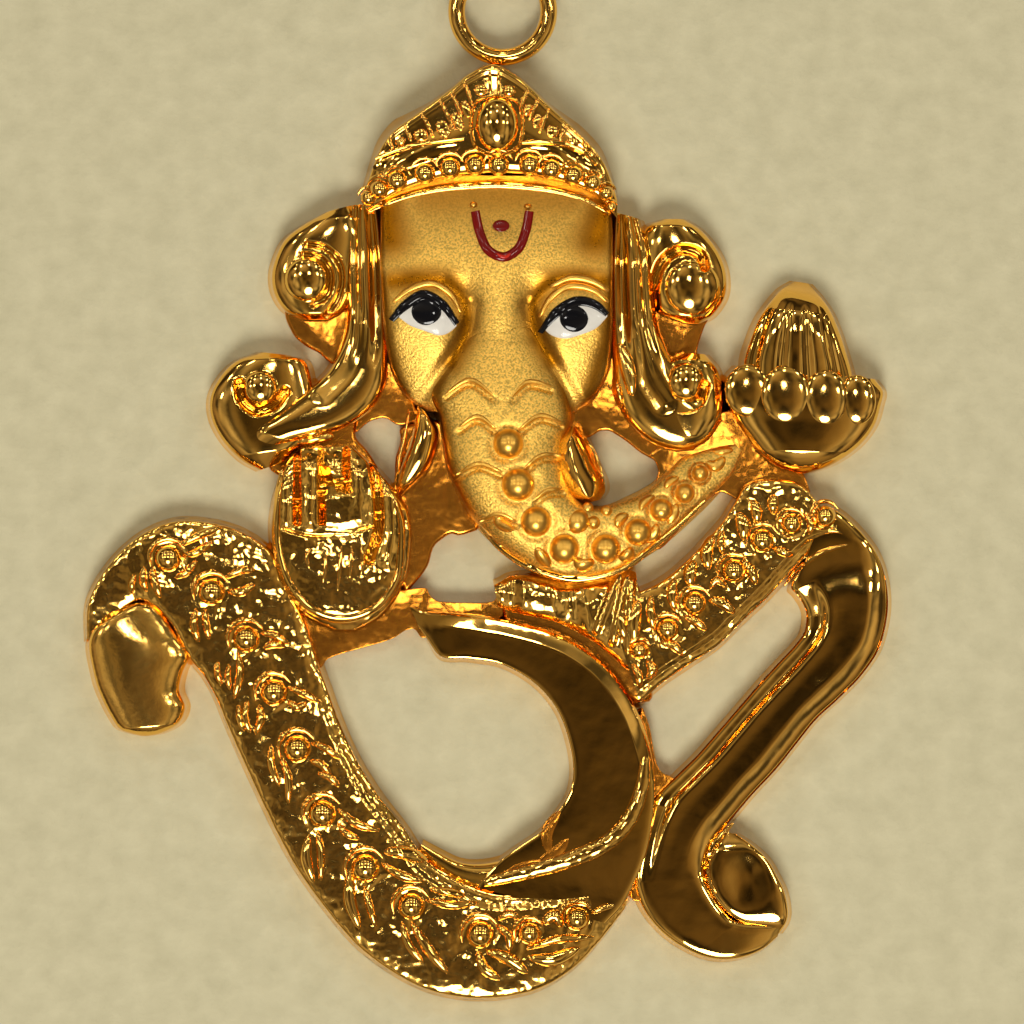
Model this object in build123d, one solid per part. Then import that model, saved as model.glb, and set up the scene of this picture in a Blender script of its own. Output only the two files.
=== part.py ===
from build123d import *
import math
import os
from collections import namedtuple

# A cast yellow gold pendant: an elephant-headed figure whose body is one flowing openwork ribbon.
# It lies on its back: +Z is out of the face, +Y runs up to the ring, +X is the right of the picture.
# All lengths are in millimetres.

# Overall size of the casting, without the ring
body_width = 34.0
body_height = 39.3

# Widths of the forms, each at its widest plain stretch
lower_ribbon_width = 4.65
ribbon_end_width = 3.8
arc_ribbon_width = 3.2
upper_band_width = 3.2
fold_ribbon_width = 3.2
ear_stem_width = 1.95
face_width = 9.75
trunk_width = 5.1
crown_width = 10.5
hand_width = 5.85
thumb_width = 1.2
neck_width = 1.85
tusk_width = 1.15
bowl_width = 6.8
treat_width = 4.7
cabochon_width = 1.95

# Heights above the flat back
ribbon_rise = 1.7
ribbon_end_rise = 1.5
arc_rise = 1.6
fold_rise = 1.5
ear_rise = 1.9
face_rise = 2.6
trunk_rise = 3.2
crown_rise = 2.5
hand_rise = 2.0
finger_rise = 2.35
neck_rise = 1.6
tusk_rise = 2.5
bowl_rise = 2.2
treat_rise = 2.1
cabochon_rise = 3.0
web_rise = 0.8

# Every form has a drafted side wall that spreads by the foot; the wall is this share of its height
wall_share = 0.62
foot = 0.2

# Beads and raised ornament
ribbon_bead_radius = 0.56
band_bead_radius = 0.44
trunk_bead_radius = 0.68
crown_bead_radius = 0.46
bead_sink = 0.12
rib_width = 0.4
rib_proud = 0.04
petal_radius = 0.95
petal_proud = 0.2
finger_width = 1.0
groove_radius = 0.22

# Rows of beads run down to smaller beads on lower metal, by these shares
crown_bead_shrink = 0.3
crown_bead_drop = 0.35
trunk_bead_shrink = 0.35
trunk_bead_drop = 0.4

# The fingers' edges are rounded by this share of half their width
finger_edge_share = 0.45

# Curled ends of the ears and of the lower right ribbon
upper_left_curl_radius = 1.9
lower_left_curl_radius = 2.05
upper_right_curl_radius = 1.77
lower_right_curl_radius = 1.58
ribbon_curl_radius = 2.0
curl_rise = 2.1

# Ring at the top, soldered to the peak of the crown
ring_wire = 0.72
ring_inner = 3.2
ring_height = 1.0
ring_sink = 0.32

# Enamel, inlaid in pockets of the casting
eye_tilt = 14.0
eye_length = 2.85
eye_opening = 1.75
eye_upper_share = 0.55
black_share = 0.97
pupil_radius = 0.56
lash_width = 0.22
enamel_depth = 0.3
enamel_proud = 0.05
black_thickness = 0.06
enamel_gap = 0.02
mark_stroke = 0.4
mark_dot_length = 0.6
mark_dot_width = 0.38

# Tables: across and up are percent of the body's width and height from its centre,
# width and rise are percent of the named width and height of the form
Section = namedtuple("Section", "across up width rise")
Spot = namedtuple("Spot", "across up")

lower_ribbon_sections = [
    Section(-48.6, -8.6, 14, 60),
    Section(-46.9, -6.5, 36, 80),
    Section(-44.0, -4.5, 53, 100),
    Section(-40.9, -3.9, 80, 100),
    Section(-37.1, -4.9, 102, 100),
    Section(-32.9, -6.5, 112, 100),
    Section(-29.9, -10.4, 107, 100),
    Section(-27.7, -14.7, 100, 100),
    Section(-25.9, -19.0, 97, 100),
    Section(-23.9, -23.1, 95, 100),
    Section(-21.4, -27.7, 96, 100),
    Section(-17.6, -33.1, 100, 100),
    Section(-13.2, -38.5, 100, 100),
    Section(-8.4, -42.2, 97, 100),
    Section(-2.5, -44.4, 95, 100),
    Section(3.6, -44.6, 89, 100),
    Section(9.5, -43.0, 69, 100),
    Section(14.2, -40.8, 36, 85),
    Section(17.5, -40.0, 7, 60),
]
ribbon_end_sections = [
    Section(-45.4, -6.6, 58, 80),
    Section(-44.2, -9.0, 94, 95),
    Section(-43.5, -11.7, 104, 100),
    Section(-43.3, -14.7, 102, 100),
    Section(-42.9, -17.3, 89, 100),
    Section(-42.1, -19.9, 78, 90),
    Section(-42.0, -21.6, 38, 60),
]
arc_ribbon_sections = [
    Section(-7.7, -10.4, 40, 70),
    Section(-5.7, -10.8, 48, 85),
    Section(-2.6, -11.0, 53, 100),
    Section(2.0, -11.7, 59, 100),
    Section(6.4, -13.1, 72, 100),
    Section(10.5, -15.5, 85, 100),
    Section(13.2, -18.4, 93, 100),
    Section(15.1, -21.5, 99, 100),
    Section(16.0, -25.2, 104, 100),
    Section(15.5, -29.6, 113, 100),
    Section(13.5, -33.5, 125, 100),
    Section(10.5, -36.7, 120, 90),
]
arc_tail_sections = [
    Section(14.2, -32.7, 70, 100),
    Section(9.5, -35.1, 68, 100),
    Section(5.0, -36.8, 55, 90),
    Section(0.6, -37.4, 42, 80),
    Section(-3.7, -36.5, 30, 70),
    Section(-7.4, -34.4, 16, 60),
    Section(-9.3, -32.8, 6, 50),
]
upper_band_sections = [
    Section(17.3, -12.8, 115, 90),
    Section(21.1, -10.8, 112, 100),
    Section(26.1, -7.7, 104, 100),
    Section(30.4, -4.4, 99, 100),
    Section(34.4, -1.0, 93, 100),
    Section(38.5, 1.2, 88, 100),
    Section(43.1, 0.8, 53, 80),
]
fold_ribbon_sections = [
    Section(43.2, 0.9, 40, 90),
    Section(44.4, -1.6, 74, 100),
    Section(44.8, -4.7, 106, 100),
    Section(44.9, -8.0, 108, 100),
    Section(44.4, -11.7, 104, 100),
    Section(41.6, -15.2, 100, 100),
    Section(38.5, -18.6, 96, 100),
    Section(34.8, -22.0, 96, 100),
    Section(31.0, -25.2, 99, 100),
    Section(27.4, -28.4, 107, 100),
    Section(24.7, -32.0, 112, 100),
    Section(23.2, -35.7, 101, 100),
    Section(24.5, -39.8, 97, 100),
    Section(28.2, -43.0, 88, 90),
    Section(32.5, -43.4, 69, 80),
    Section(35.6, -41.9, 42, 70),
]
left_stem_sections = [
    Section(-16.7, 34.2, 65, 80),
    Section(-15.5, 30.9, 87, 100),
    Section(-15.2, 26.1, 87, 100),
    Section(-16.0, 21.2, 96, 100),
    Section(-18.0, 17.2, 117, 100),
    Section(-20.9, 14.2, 135, 100),
    Section(-24.4, 11.5, 143, 100),
    Section(-27.9, 9.9, 109, 80),
]
right_stem_sections = [
    Section(19.2, 34.2, 65, 80),
    Section(18.2, 30.4, 96, 100),
    Section(18.0, 25.0, 96, 100),
    Section(18.5, 20.1, 100, 100),
    Section(20.0, 15.8, 113, 100),
    Section(22.2, 12.9, 117, 100),
    Section(25.4, 11.5, 100, 100),
    Section(27.4, 13.1, 74, 80),
]
face_sections = [
    Section(1.4, 38.7, 94, 70),
    Section(1.4, 32.9, 102, 95),
    Section(1.4, 27.1, 101, 100),
    Section(1.4, 21.7, 98, 100),
    Section(1.6, 17.4, 90, 95),
    Section(1.7, 14.0, 75, 80),
    Section(1.9, 12.0, 57, 60),
]
trunk_sections = [
    Section(1.7, 29.1, 37, 75),
    Section(1.5, 25.0, 55, 90),
    Section(1.6, 20.7, 73, 100),
    Section(1.5, 17.2, 102, 100),
    Section(1.6, 14.0, 113, 100),
    Section(2.2, 10.7, 102, 100),
    Section(2.4, 7.7, 96, 100),
    Section(3.1, 5.1, 93, 100),
    Section(4.7, 2.9, 83, 100),
    Section(7.0, 0.8, 73, 100),
    Section(9.7, -0.7, 63, 95),
    Section(13.2, -1.0, 58, 90),
    Section(16.7, -0.2, 55, 82),
    Section(19.8, 1.6, 52, 75),
    Section(22.6, 3.5, 47, 70),
    Section(24.9, 5.4, 42, 65),
    Section(27.1, 6.7, 37, 60),
    Section(29.4, 7.9, 28, 55),
    Section(31.3, 9.0, 18, 50),
]
crown_sections = [
    Section(2.0, 50.9, 17, 50),
    Section(1.3, 49.4, 20, 60),
    Section(0.9, 47.8, 32, 70),
    Section(0.4, 45.8, 50, 80),
    Section(-0.2, 43.6, 71, 85),
    Section(0.0, 42.0, 81, 90),
    Section(0.4, 40.1, 90, 100),
    Section(0.9, 37.5, 98, 100),
    Section(0.9, 35.3, 99, 85),
]
hand_sections = [
    Section(-19.3, 8.9, 39, 80),
    Section(-19.4, 7.1, 65, 90),
    Section(-18.6, 4.5, 86, 100),
    Section(-18.0, 1.8, 100, 100),
    Section(-18.0, -1.6, 99, 100),
    Section(-17.8, -5.3, 88, 95),
    Section(-17.7, -8.0, 64, 85),
    Section(-17.7, -9.8, 35, 70),
    Section(-17.6, -10.4, 14, 55),
]
thumb_sections = [
    Section(-13.7, 4.7, 79, 80),
    Section(-11.8, 1.2, 107, 100),
    Section(-11.5, -2.0, 114, 100),
    Section(-12.5, -5.4, 100, 100),
    Section(-15.0, -8.0, 71, 80),
]
neck_sections = [
    Section(1.7, -7.0, 77, 80),
    Section(7.4, -7.2, 95, 100),
    Section(13.0, -7.4, 114, 100),
    Section(17.3, -8.0, 127, 100),
]
left_tusk_sections = [
    Section(-8.0, 13.1, 22, 60),
    Section(-8.1, 10.7, 74, 100),
    Section(-8.9, 7.9, 96, 100),
    Section(-10.0, 5.3, 70, 100),
    Section(-11.0, 3.6, 22, 60),
]
right_tusk_sections = [
    Section(11.7, 10.7, 30, 60),
    Section(11.5, 8.6, 89, 100),
    Section(12.1, 6.3, 111, 100),
    Section(13.3, 4.6, 81, 100),
    Section(14.2, 3.6, 30, 60),
]
bowl_sections = [
    Section(39.3, 17.3, 90, 80),
    Section(39.4, 15.6, 100, 100),
    Section(39.3, 13.6, 97, 100),
    Section(39.4, 10.6, 84, 100),
    Section(39.2, 8.3, 60, 85),
    Section(39.0, 6.8, 34, 70),
    Section(39.0, 6.2, 15, 55),
]
treat_sections = [
    Section(39.3, 26.7, 18, 60),
    Section(38.8, 25.4, 40, 75),
    Section(38.7, 23.7, 61, 90),
    Section(38.5, 21.7, 79, 100),
    Section(38.5, 19.4, 90, 100),
    Section(38.9, 16.5, 97, 90),
]
cabochon_sections = [
    Section(1.4, 46.7, 34, 85),
    Section(1.4, 45.8, 70, 95),
    Section(1.4, 44.6, 96, 100),
    Section(1.4, 43.5, 100, 100),
    Section(1.4, 42.2, 87, 100),
    Section(1.4, 41.2, 57, 95),
    Section(1.4, 40.6, 26, 85),
]

# Flat webs of metal that join the forms, each as its corners
webs = {
    "top of the left ear": [(-15, 35.3), (-16.7, 35.1), (-21, 33.4), (-17.5, 30.4), (-14.2, 32.5)],
    "top of the right ear": [(16, 34.2), (20.4, 33.9), (25.4, 33.4), (20.4, 30.4), (15.8, 32)],
    "left ear to face": [
        (-15.5, 14.5), (-12.7, 20.7), (-8.9, 13.7), (-8.2, 12), (-10.8, 11.3), (-12.6, 12.3),
        (-14.6, 11.9), (-16.5, 10.5),
    ],
    "right ear to face": [(14, 20), (17.5, 20), (18, 13), (14.5, 13)],
    "cheek to right tusk": [(10, 14.5), (13.5, 14.5), (13.5, 10), (10.5, 10)],
    "between the left ear curls": [(-25, 25), (-16.5, 26), (-16.5, 18), (-20, 19), (-23, 21)],
    "between the right ear curls": [(20.5, 25), (29.5, 24.5), (26.5, 19.5), (20.5, 18.5)],
    "left ear to hand": [
        (-28.5, 8.5), (-23, 13.5), (-15.5, 14.5), (-16.5, 10.5), (-14.5, 8.5), (-12.5, 5.5), (-26, 5.5),
    ],
    "hand to trunk": [
        (-11, 11.5), (-5, 12.5), (-0.5, 0.5), (-4.5, 0), (-6.5, -1.5), (-7.5, -6), (-11, -7.5),
        (-11.5, 7.5),
    ],
    "trunk tip to bowl": [
        (12, 13.5), (13.8, 18.5), (15.5, 14.5), (21.5, 12), (27.5, 13.5), (31, 13), (39.5, 6.5),
        (40.5, 3.5), (32.5, 2.5), (30, 5), (26.5, 7), (21.5, 6.5), (21, 7.5), (17.5, 9.5), (14, 11),
        (13, 10),
    ],
    "hand to ribbons": [
        (-25, -11.5), (-23, -7.5), (-11.5, -6.5), (-7.5, -6.5), (1.5, -7.5), (1.5, -10), (-7, -10),
        (-10, -10.5), (-11.5, -11.5), (-19.5, -13.5), (-22, -15.5),
    ],
    "under the neck": [
        (1.5, -4.5), (17.5, -3.5), (19.5, -7.5), (20, -17.5), (14, -12), (8, -10.5), (2.5, -9.5),
    ],
    "arc to fold": [
        (19, -25.5), (21, -24.5), (22, -26), (23.5, -26.5), (26.5, -28), (26.5, -35.5), (20, -40.5),
        (17.5, -39.5),
    ],
    "arc to lower ribbon": [
        (8.5, -37.5), (13.5, -36.5), (17.8, -38), (17.8, -40.2), (14, -39.6), (9, -40),
    ],
}

ribbon_beads = [
    Spot(-39.7, -3.4), Spot(-34.0, -6.6), Spot(-29.8, -11.6), Spot(-26.3, -17.4), Spot(-23.4, -23.4),
    Spot(-20.3, -30.3), Spot(-15.0, -36.0), Spot(-9.4, -40.4), Spot(-0.7, -43.3), Spot(5.5, -43.1),
    Spot(11.5, -41.7),
]
band_beads = [
    Spot(42.3, 1.2), Spot(37.8, 1.0), Spot(34.4, -0.8), Spot(30.8, -4.3), Spot(26.1, -7.4),
    Spot(22.4, -10.5), Spot(18.8, -12.8),
]
trunk_beads = [
    Spot(2.7, 9.3), Spot(4.0, 5.0), Spot(6.1, 0.9), Spot(9.6, -1.8), Spot(14.6, -1.8), Spot(19.0, 0.1),
    Spot(21.9, 2.3), Spot(24.4, 4.2), Spot(26.6, 6.1),
]

# What sits on the crown, the hand, the bowl or the face: across is percent of that form's width
# from its own middle line, up is percent of the body's height
crown_middle = 0.9
hand_middle = -18.9
bowl_middle = 39.3
face_middle = 1.4
crown_beads = [
    Spot(-49, 36.1), Spot(-45, 36.7), Spot(-38.5, 37.7), Spot(-27, 38.8), Spot(-17.5, 39.0),
    Spot(-7.5, 39.2), Spot(2.5, 39.4), Spot(13.5, 39.1), Spot(23, 38.8), Spot(31.5, 38.3),
    Spot(40, 37.5), Spot(46, 36.3),
]

# Curls: the start, middle and end of the spiral groove are percent of the radius from the centre
Curl = namedtuple("Curl", "centre radius groove")
curls = [
    Curl(
        Spot(-21.2, 28.4), upper_left_curl_radius,
        [Spot(-20, 37), Spot(54, 25), Spot(45, -87)],
    ),
    Curl(
        Spot(-28.4, 13.3), lower_left_curl_radius,
        [Spot(63, 44), Spot(7, -6), Spot(-32, 33)],
    ),
    Curl(
        Spot(24.7, 28.0), upper_right_curl_radius,
        [Spot(-69, -91), Spot(-27, 49), Spot(48, -27)],
    ),
    Curl(
        Spot(25.6, 15.6), lower_right_curl_radius,
        [Spot(-77, 85), Spot(-13, -32), Spot(22, 35)],
    ),
    Curl(
        Spot(31.6, -38.4), ribbon_curl_radius,
        [Spot(-24, 141), Spot(-76, 49), Spot(-48, -28)],
    ),
]

# Fan ribs of the crown, from the outline to the band
fan_ribs = [
    (Spot(-11.5, 48.5), Spot(-8.5, 45.8)),
    (Spot(-21.5, 46.3), Spot(-15.5, 43.1)),
    (Spot(-29, 44.9), Spot(-25.5, 42.9)),
    (Spot(-36.5, 43.5), Spot(-33.5, 42.0)),
    (Spot(14.5, 47.6), Spot(12.5, 45.8)),
    (Spot(22, 45.1), Spot(19.5, 42.9)),
    (Spot(30, 43.7), Spot(28, 42.2)),
    (Spot(37, 42.2), Spot(38, 41.2)),
]

# Fingers of the raised hand run from the crease to their tips; width is percent of the widest
Finger = namedtuple("Finger", "across reach width")
finger_crease = 0.8
fingers = [
    Finger(-35.5, 4.3, 80),
    Finger(-17.5, 8.1, 92),
    Finger(0.5, 8.2, 92),
    Finger(20, 6.7, 100),
]

# Scallops of the bowl's rim; size is percent of the largest
Petal = namedtuple("Petal", "across up size")
petals = [
    Petal(-36.5, 14.6, 100),
    Petal(-10.5, 14.9, 95),
    Petal(12.5, 14.7, 80),
    Petal(30.5, 14.3, 80),
    Petal(41.5, 13.7, 53),
]

# Enamel places; turn is in degrees, and the pupil's place is percent of the eye's length and opening
Eye = namedtuple("Eye", "across up turn pupil_across pupil_up side")
eyes = {
    "left": Eye(-31.5, 23.2, -5, 5, 3, -1),
    "right": Eye(33, 22.8, 12, 3, 3, 1),
}
mark_path = [
    Spot(-9.5, 34.4), Spot(-5, 31.4), Spot(0, 29.8), Spot(6, 29.8), Spot(10, 31.6), Spot(12.5, 34.4),
]
mark_dot = Spot(1.5, 32.8)


def place(spot):
    """The plan position of a spot, in millimetres from the body's centre."""
    return Vector(spot[0] * body_width / 100, spot[1] * body_height / 100)


def place_on(middle, width, spot):
    """The plan position of a spot that keeps its share of the width of the form it sits on."""
    return place(Spot(middle, spot[1])) + Vector(spot[0] * width / 100, 0)


def outline_section(middle, along, half_width, top):
    """One upright section: flat back, drafted walls and an arched top."""
    side = Vector(-along.Y, along.X)
    wall = top * wall_share
    left = middle + side * half_width + Vector(0, 0, wall)
    right = middle - side * half_width + Vector(0, 0, wall)
    left_foot = middle + side * (half_width + foot)
    right_foot = middle - side * (half_width + foot)
    crest = middle + Vector(0, 0, top)
    edges = [
        Line(left_foot, right_foot),
        Line(right_foot, right),
        ThreePointArc(right, crest, left),
        Line(left, left_foot),
    ]
    return Wire(edges)


def ribbon(sections, width, rise):
    """A cast form lofted through the sections of its table, each square to the form's own line."""
    middles = [place(section) for section in sections]
    wires = []
    last = len(sections) - 1
    for number, section in enumerate(sections):
        before = middles[max(number - 1, 0)]
        after = middles[min(number + 1, last)]
        along = (after - before).normalized()
        half_width = width * section.width / 200
        wires.append(outline_section(middles[number], along, half_width, rise * section.rise / 100))
    return Solid.make_loft(wires)


def mound(sections, width, rise):
    """A broad cast form lofted through level sections, one above the other in the picture."""
    wires = []
    for section in sections:
        half_width = width * section.width / 200
        wires.append(outline_section(place(section), Vector(0, -1), half_width, rise * section.rise / 100))
    return Solid.make_loft(wires)


def button(centre, radius, rise):
    """A round form with a drafted wall and a domed top."""
    wall = rise * wall_share
    outline = [
        Line((0, 0), (radius + foot, 0)),
        Line((radius + foot, 0), (radius, wall)),
        RadiusArc((radius, wall), (0, rise), dome_radius(radius, rise - wall)),
        Line((0, rise), (0, 0)),
    ]
    profile = Plane.XZ * make_face(outline)
    spun = revolve(profile, Axis.Z)
    return Pos(centre) * spun


def dome_radius(half_width, height):
    """The sphere radius of a cap of this half width and height."""
    return -(half_width ** 2 + height ** 2) / (2 * height)


def web(corners):
    """A flat web between forms."""
    outline = Polyline([place(corner) for corner in corners], close=True)
    return extrude(make_face(outline), amount=web_rise)


def bead(centre, radius, surface):
    """A raised bead, sunk a little into the surface that carries it."""
    return Pos(centre + Vector(0, 0, surface - bead_sink)) * Sphere(radius)


def rib(start, end, top):
    """A narrow raised rib between two points."""
    run = end - start
    middle = (start + end) * 0.5
    turn = math.degrees(math.atan2(run.Y, run.X))
    bar = Box(run.length, rib_width, top, align=(Align.CENTER, Align.CENTER, Align.MIN))
    return Pos(middle) * Rot(0, 0, turn) * bar


def finger(row):
    """A finger of the raised hand: a bar with a rounded tip and edges."""
    low = place_on(hand_middle, hand_width, Spot(row.across, finger_crease))
    high = place_on(hand_middle, hand_width, Spot(row.across, row.reach))
    width = finger_width * row.width / 100
    standing = (Align.CENTER, Align.CENTER, Align.MIN)
    bar = Pos((low + high) * 0.5) * Box(width, (high - low).length, finger_rise, align=standing)
    tip = Pos(high) * Cylinder(width / 2, finger_rise, align=standing)
    whole = bar + tip
    top_edges = whole.edges().group_by(Axis.Z)[-1]
    return fillet(top_edges, finger_edge_share * width / 2)


def groove(curl):
    """The round groove along an arc on a curl's top."""
    centre = place(curl.centre) + Vector(0, 0, curl_rise)
    reach = curl.radius / 100
    path = ThreePointArc(*[centre + Vector(spot.across, spot.up) * reach for spot in curl.groove])
    section = Plane(origin=path @ 0, z_dir=path % 0) * Circle(groove_radius)
    return sweep(section, path=path)


def eye_frame(eye):
    """The tilted seat of an eye on the slope of the face."""
    spot = place_on(face_middle, face_width, eye)
    reach = abs(eye.across) / 50
    dome = face_rise * (1 - wall_share)
    level = face_rise - dome * reach ** 2
    return Pos(spot.X, spot.Y, level) * Rot(0, eye.side * eye_tilt, 0) * Rot(0, 0, eye.turn)


def almond(length, opening):
    """The outline of an eye: two arcs between its corners."""
    inner = Vector(-length / 2, 0)
    outer = Vector(length / 2, 0)
    upper = ThreePointArc(inner, Vector(0, opening * eye_upper_share), outer)
    lower = ThreePointArc(outer, Vector(0, -opening * (1 - eye_upper_share)), inner)
    return make_face([upper, lower])


def eye_white(eye):
    """White enamel that fills the eye's pocket."""
    shape = extrude(almond(eye_length, eye_opening), amount=enamel_depth + enamel_proud)
    return eye_frame(eye) * Pos(0, 0, -enamel_depth) * shape


def eye_pocket(eye):
    """The pocket cut for the white enamel, open upwards."""
    cut = almond(eye_length + 4 * enamel_gap, eye_opening + 2 * enamel_gap)
    return eye_frame(eye) * Pos(0, 0, -enamel_depth) * extrude(cut, amount=enamel_depth + face_rise)


def eye_black(eye):
    """Black enamel on the white: the lash line and the pupil that hangs from it."""
    whole = almond(eye_length * black_share, eye_opening * black_share)
    lash = whole - Pos(0, -lash_width) * almond(eye_length, eye_opening * black_share)
    below_corners = Pos(0, -eye_opening / 2) * Rectangle(eye_length * 2, eye_opening)
    lash = lash - below_corners
    pupil_across = eye_length * eye.pupil_across / 100
    pupil_up = eye_opening * eye.pupil_up / 100 + lash_width / 2
    pupil = Pos(pupil_across, pupil_up) * Circle(pupil_radius)
    drawn = (lash + pupil) & whole
    return eye_frame(eye) * Pos(0, 0, enamel_proud) * extrude(drawn, amount=black_thickness)


def mark_shape(stroke):
    """The open U on the forehead, drawn with a stroke of even width."""
    corners = [place_on(face_middle, face_width, spot) for spot in mark_path]
    return trace(Polyline(corners), line_width=stroke)


def dot_shape(gap):
    """The small oval inside the U."""
    centre = place_on(face_middle, face_width, mark_dot)
    return Pos(centre) * Ellipse(mark_dot_length / 2 + gap, mark_dot_width / 2 + gap)


# The forms of the casting
forms = [
    ribbon(lower_ribbon_sections, lower_ribbon_width, ribbon_rise),
    ribbon(ribbon_end_sections, ribbon_end_width, ribbon_end_rise),
    ribbon(arc_ribbon_sections, arc_ribbon_width, arc_rise),
    ribbon(arc_tail_sections, arc_ribbon_width, arc_rise),
    ribbon(upper_band_sections, upper_band_width, ribbon_rise),
    ribbon(fold_ribbon_sections, fold_ribbon_width, fold_rise),
    ribbon(left_stem_sections, ear_stem_width, ear_rise),
    ribbon(right_stem_sections, ear_stem_width, ear_rise),
    mound(face_sections, face_width, face_rise),
    ribbon(trunk_sections, trunk_width, trunk_rise),
    mound(crown_sections, crown_width, crown_rise),
    mound(hand_sections, hand_width, hand_rise),
    ribbon(thumb_sections, thumb_width, finger_rise),
    ribbon(neck_sections, neck_width, neck_rise),
    ribbon(left_tusk_sections, tusk_width, tusk_rise),
    ribbon(right_tusk_sections, tusk_width, tusk_rise),
    mound(bowl_sections, bowl_width, bowl_rise),
    mound(treat_sections, treat_width, treat_rise),
    mound(cabochon_sections, cabochon_width, cabochon_rise),
]
forms += [button(place(curl.centre), curl.radius, curl_rise) for curl in curls]
forms += [web(corners) for corners in webs.values()]
forms += [finger(row) for row in fingers]

# Raised ornament
forms += [bead(place(spot), ribbon_bead_radius, ribbon_rise) for spot in ribbon_beads]
forms += [bead(place(spot), band_bead_radius, ribbon_rise) for spot in band_beads]
for spot in crown_beads:
    share = abs(spot.across) / 50
    centre = place_on(crown_middle, crown_width, spot)
    surface = crown_rise * (1 - crown_bead_drop * share ** 2)
    forms.append(bead(centre, crown_bead_radius * (1 - crown_bead_shrink * share), surface))
for number, spot in enumerate(trunk_beads):
    share = number / (len(trunk_beads) - 1)
    surface = trunk_rise * (1 - trunk_bead_drop * share)
    forms.append(bead(place(spot), trunk_bead_radius * (1 - trunk_bead_shrink * share), surface))
for ends in fan_ribs:
    start, end = [place_on(crown_middle, crown_width, spot) for spot in ends]
    forms.append(rib(start, end, crown_rise + rib_proud))
for petal in petals:
    centre = place_on(bowl_middle, bowl_width, petal)
    forms.append(button(centre, petal_radius * petal.size / 100 - foot, bowl_rise + petal_proud))

# The ring, soldered to the peak of the crown
ring_centre = place(crown_sections[0]) + Vector(0, ring_inner / 2 + ring_wire - ring_sink, ring_height)
ring = Pos(ring_centre) * Torus((ring_inner + ring_wire) / 2, ring_wire / 2)
forms.append(ring)

casting = Part() + forms
for curl in curls:
    casting -= groove(curl)

# Pockets for the enamel
for eye in eyes.values():
    casting -= eye_pocket(eye)
mark_floor = face_rise - enamel_depth
pocket_shapes = mark_shape(mark_stroke + 2 * enamel_gap) + dot_shape(enamel_gap)
casting -= Pos(0, 0, mark_floor) * extrude(pocket_shapes, amount=face_rise)

nodes = {"cast_body": casting}
for side, eye in eyes.items():
    nodes["eye_white_" + side] = eye_white(eye)
    nodes["eye_black_" + side] = eye_black(eye)
mark_height = enamel_depth + enamel_proud
nodes["forehead_mark"] = Pos(0, 0, mark_floor) * extrude(mark_shape(mark_stroke), amount=mark_height)
nodes["forehead_dot"] = Pos(0, 0, mark_floor) * extrude(dot_shape(0), amount=mark_height)

# The origin is the middle of the back, under the middle of the whole casting
box = casting.bounding_box()
centre = box.center()
to_origin = Pos(-centre.X, -centre.Y, 0)
os.makedirs("parts", exist_ok=True)
for name, shape in nodes.items():
    export_step(to_origin * shape, os.path.join("parts", name + ".step"))
print("body centre from the origin", round(-centre.X, 3), round(-centre.Y, 3))
print("size", box.size)
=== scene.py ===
import math

import bmesh
import bpy
import numpy as np
from mathutils import Matrix, Vector
from mathutils.bvhtree import BVHTree


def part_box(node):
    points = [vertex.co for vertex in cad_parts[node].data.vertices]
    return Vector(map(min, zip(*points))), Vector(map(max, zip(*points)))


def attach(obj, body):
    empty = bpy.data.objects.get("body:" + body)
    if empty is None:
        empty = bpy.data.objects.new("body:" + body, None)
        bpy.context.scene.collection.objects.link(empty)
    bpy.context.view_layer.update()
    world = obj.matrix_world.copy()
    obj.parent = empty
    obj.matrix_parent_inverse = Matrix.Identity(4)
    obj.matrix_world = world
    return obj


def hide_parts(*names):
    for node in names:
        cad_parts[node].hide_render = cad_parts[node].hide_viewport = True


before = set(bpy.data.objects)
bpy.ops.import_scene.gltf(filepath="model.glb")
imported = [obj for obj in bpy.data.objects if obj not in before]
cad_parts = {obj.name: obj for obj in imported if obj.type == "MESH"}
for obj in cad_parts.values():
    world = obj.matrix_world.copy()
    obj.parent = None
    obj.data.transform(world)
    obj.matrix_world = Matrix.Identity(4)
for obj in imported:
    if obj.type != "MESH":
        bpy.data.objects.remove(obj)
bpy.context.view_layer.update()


# The lower ribbon: a broad band that turns over at the left, sweeps down under the open gap and ends
# at the right. Cast yellow gold in one with all its neighbours, polished, with beads and leaves on it.
low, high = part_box("cast_body")
size = high - low
middle = (low + high) / 2
mm = 0.001

# Across is percent of the casting's width and up is percent of its height, from its middle. Other
# widths are percent of the casting's width, and a rise is percent of its thickness. A row of edges
# holds across and up on one edge of a form, then across and up on its other edge.


def spots(*numbers):
    """Spots, each one across and up, from their numbers in turn."""
    return np.reshape(numbers, (-1, 2))


def plan(places):
    """Spots as positions on the flat back, in metres."""
    return np.array([middle.x, middle.y]) + np.array(places, float) / 100 * np.array([size.x, size.y])


def pairs(rows):
    """Rows of edges as positions: x and y on one edge, then on the other."""
    return plan(np.reshape(rows, (-1, 2))).reshape(-1, 4)


def half(width):
    """Half of a width, in metres."""
    return width / 200 * size.x


def flow(table, u):
    """The table's rows joined by a smooth line, read at the shares u of its length."""
    steps = np.linalg.norm(np.diff(table, axis=0), axis=1)
    knots = np.concatenate([[0], np.cumsum(steps)])
    knots = knots / knots[-1]
    slopes = np.gradient(table, knots, axis=0)
    index = np.clip(np.searchsorted(knots, u, side="right") - 1, 0, len(knots) - 2)
    span = (knots[index + 1] - knots[index])[:, None]
    t = (np.asarray(u) - knots[index])[:, None] / span
    start, end = table[index], table[index + 1]
    leave = slopes[index] * span
    arrive = slopes[index + 1] * span
    bend = 2 * start - 2 * end + leave + arrive
    swing = -3 * start + 3 * end - 2 * leave - arrive
    return ((bend * t + swing) * t + leave) * t + start


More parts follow.
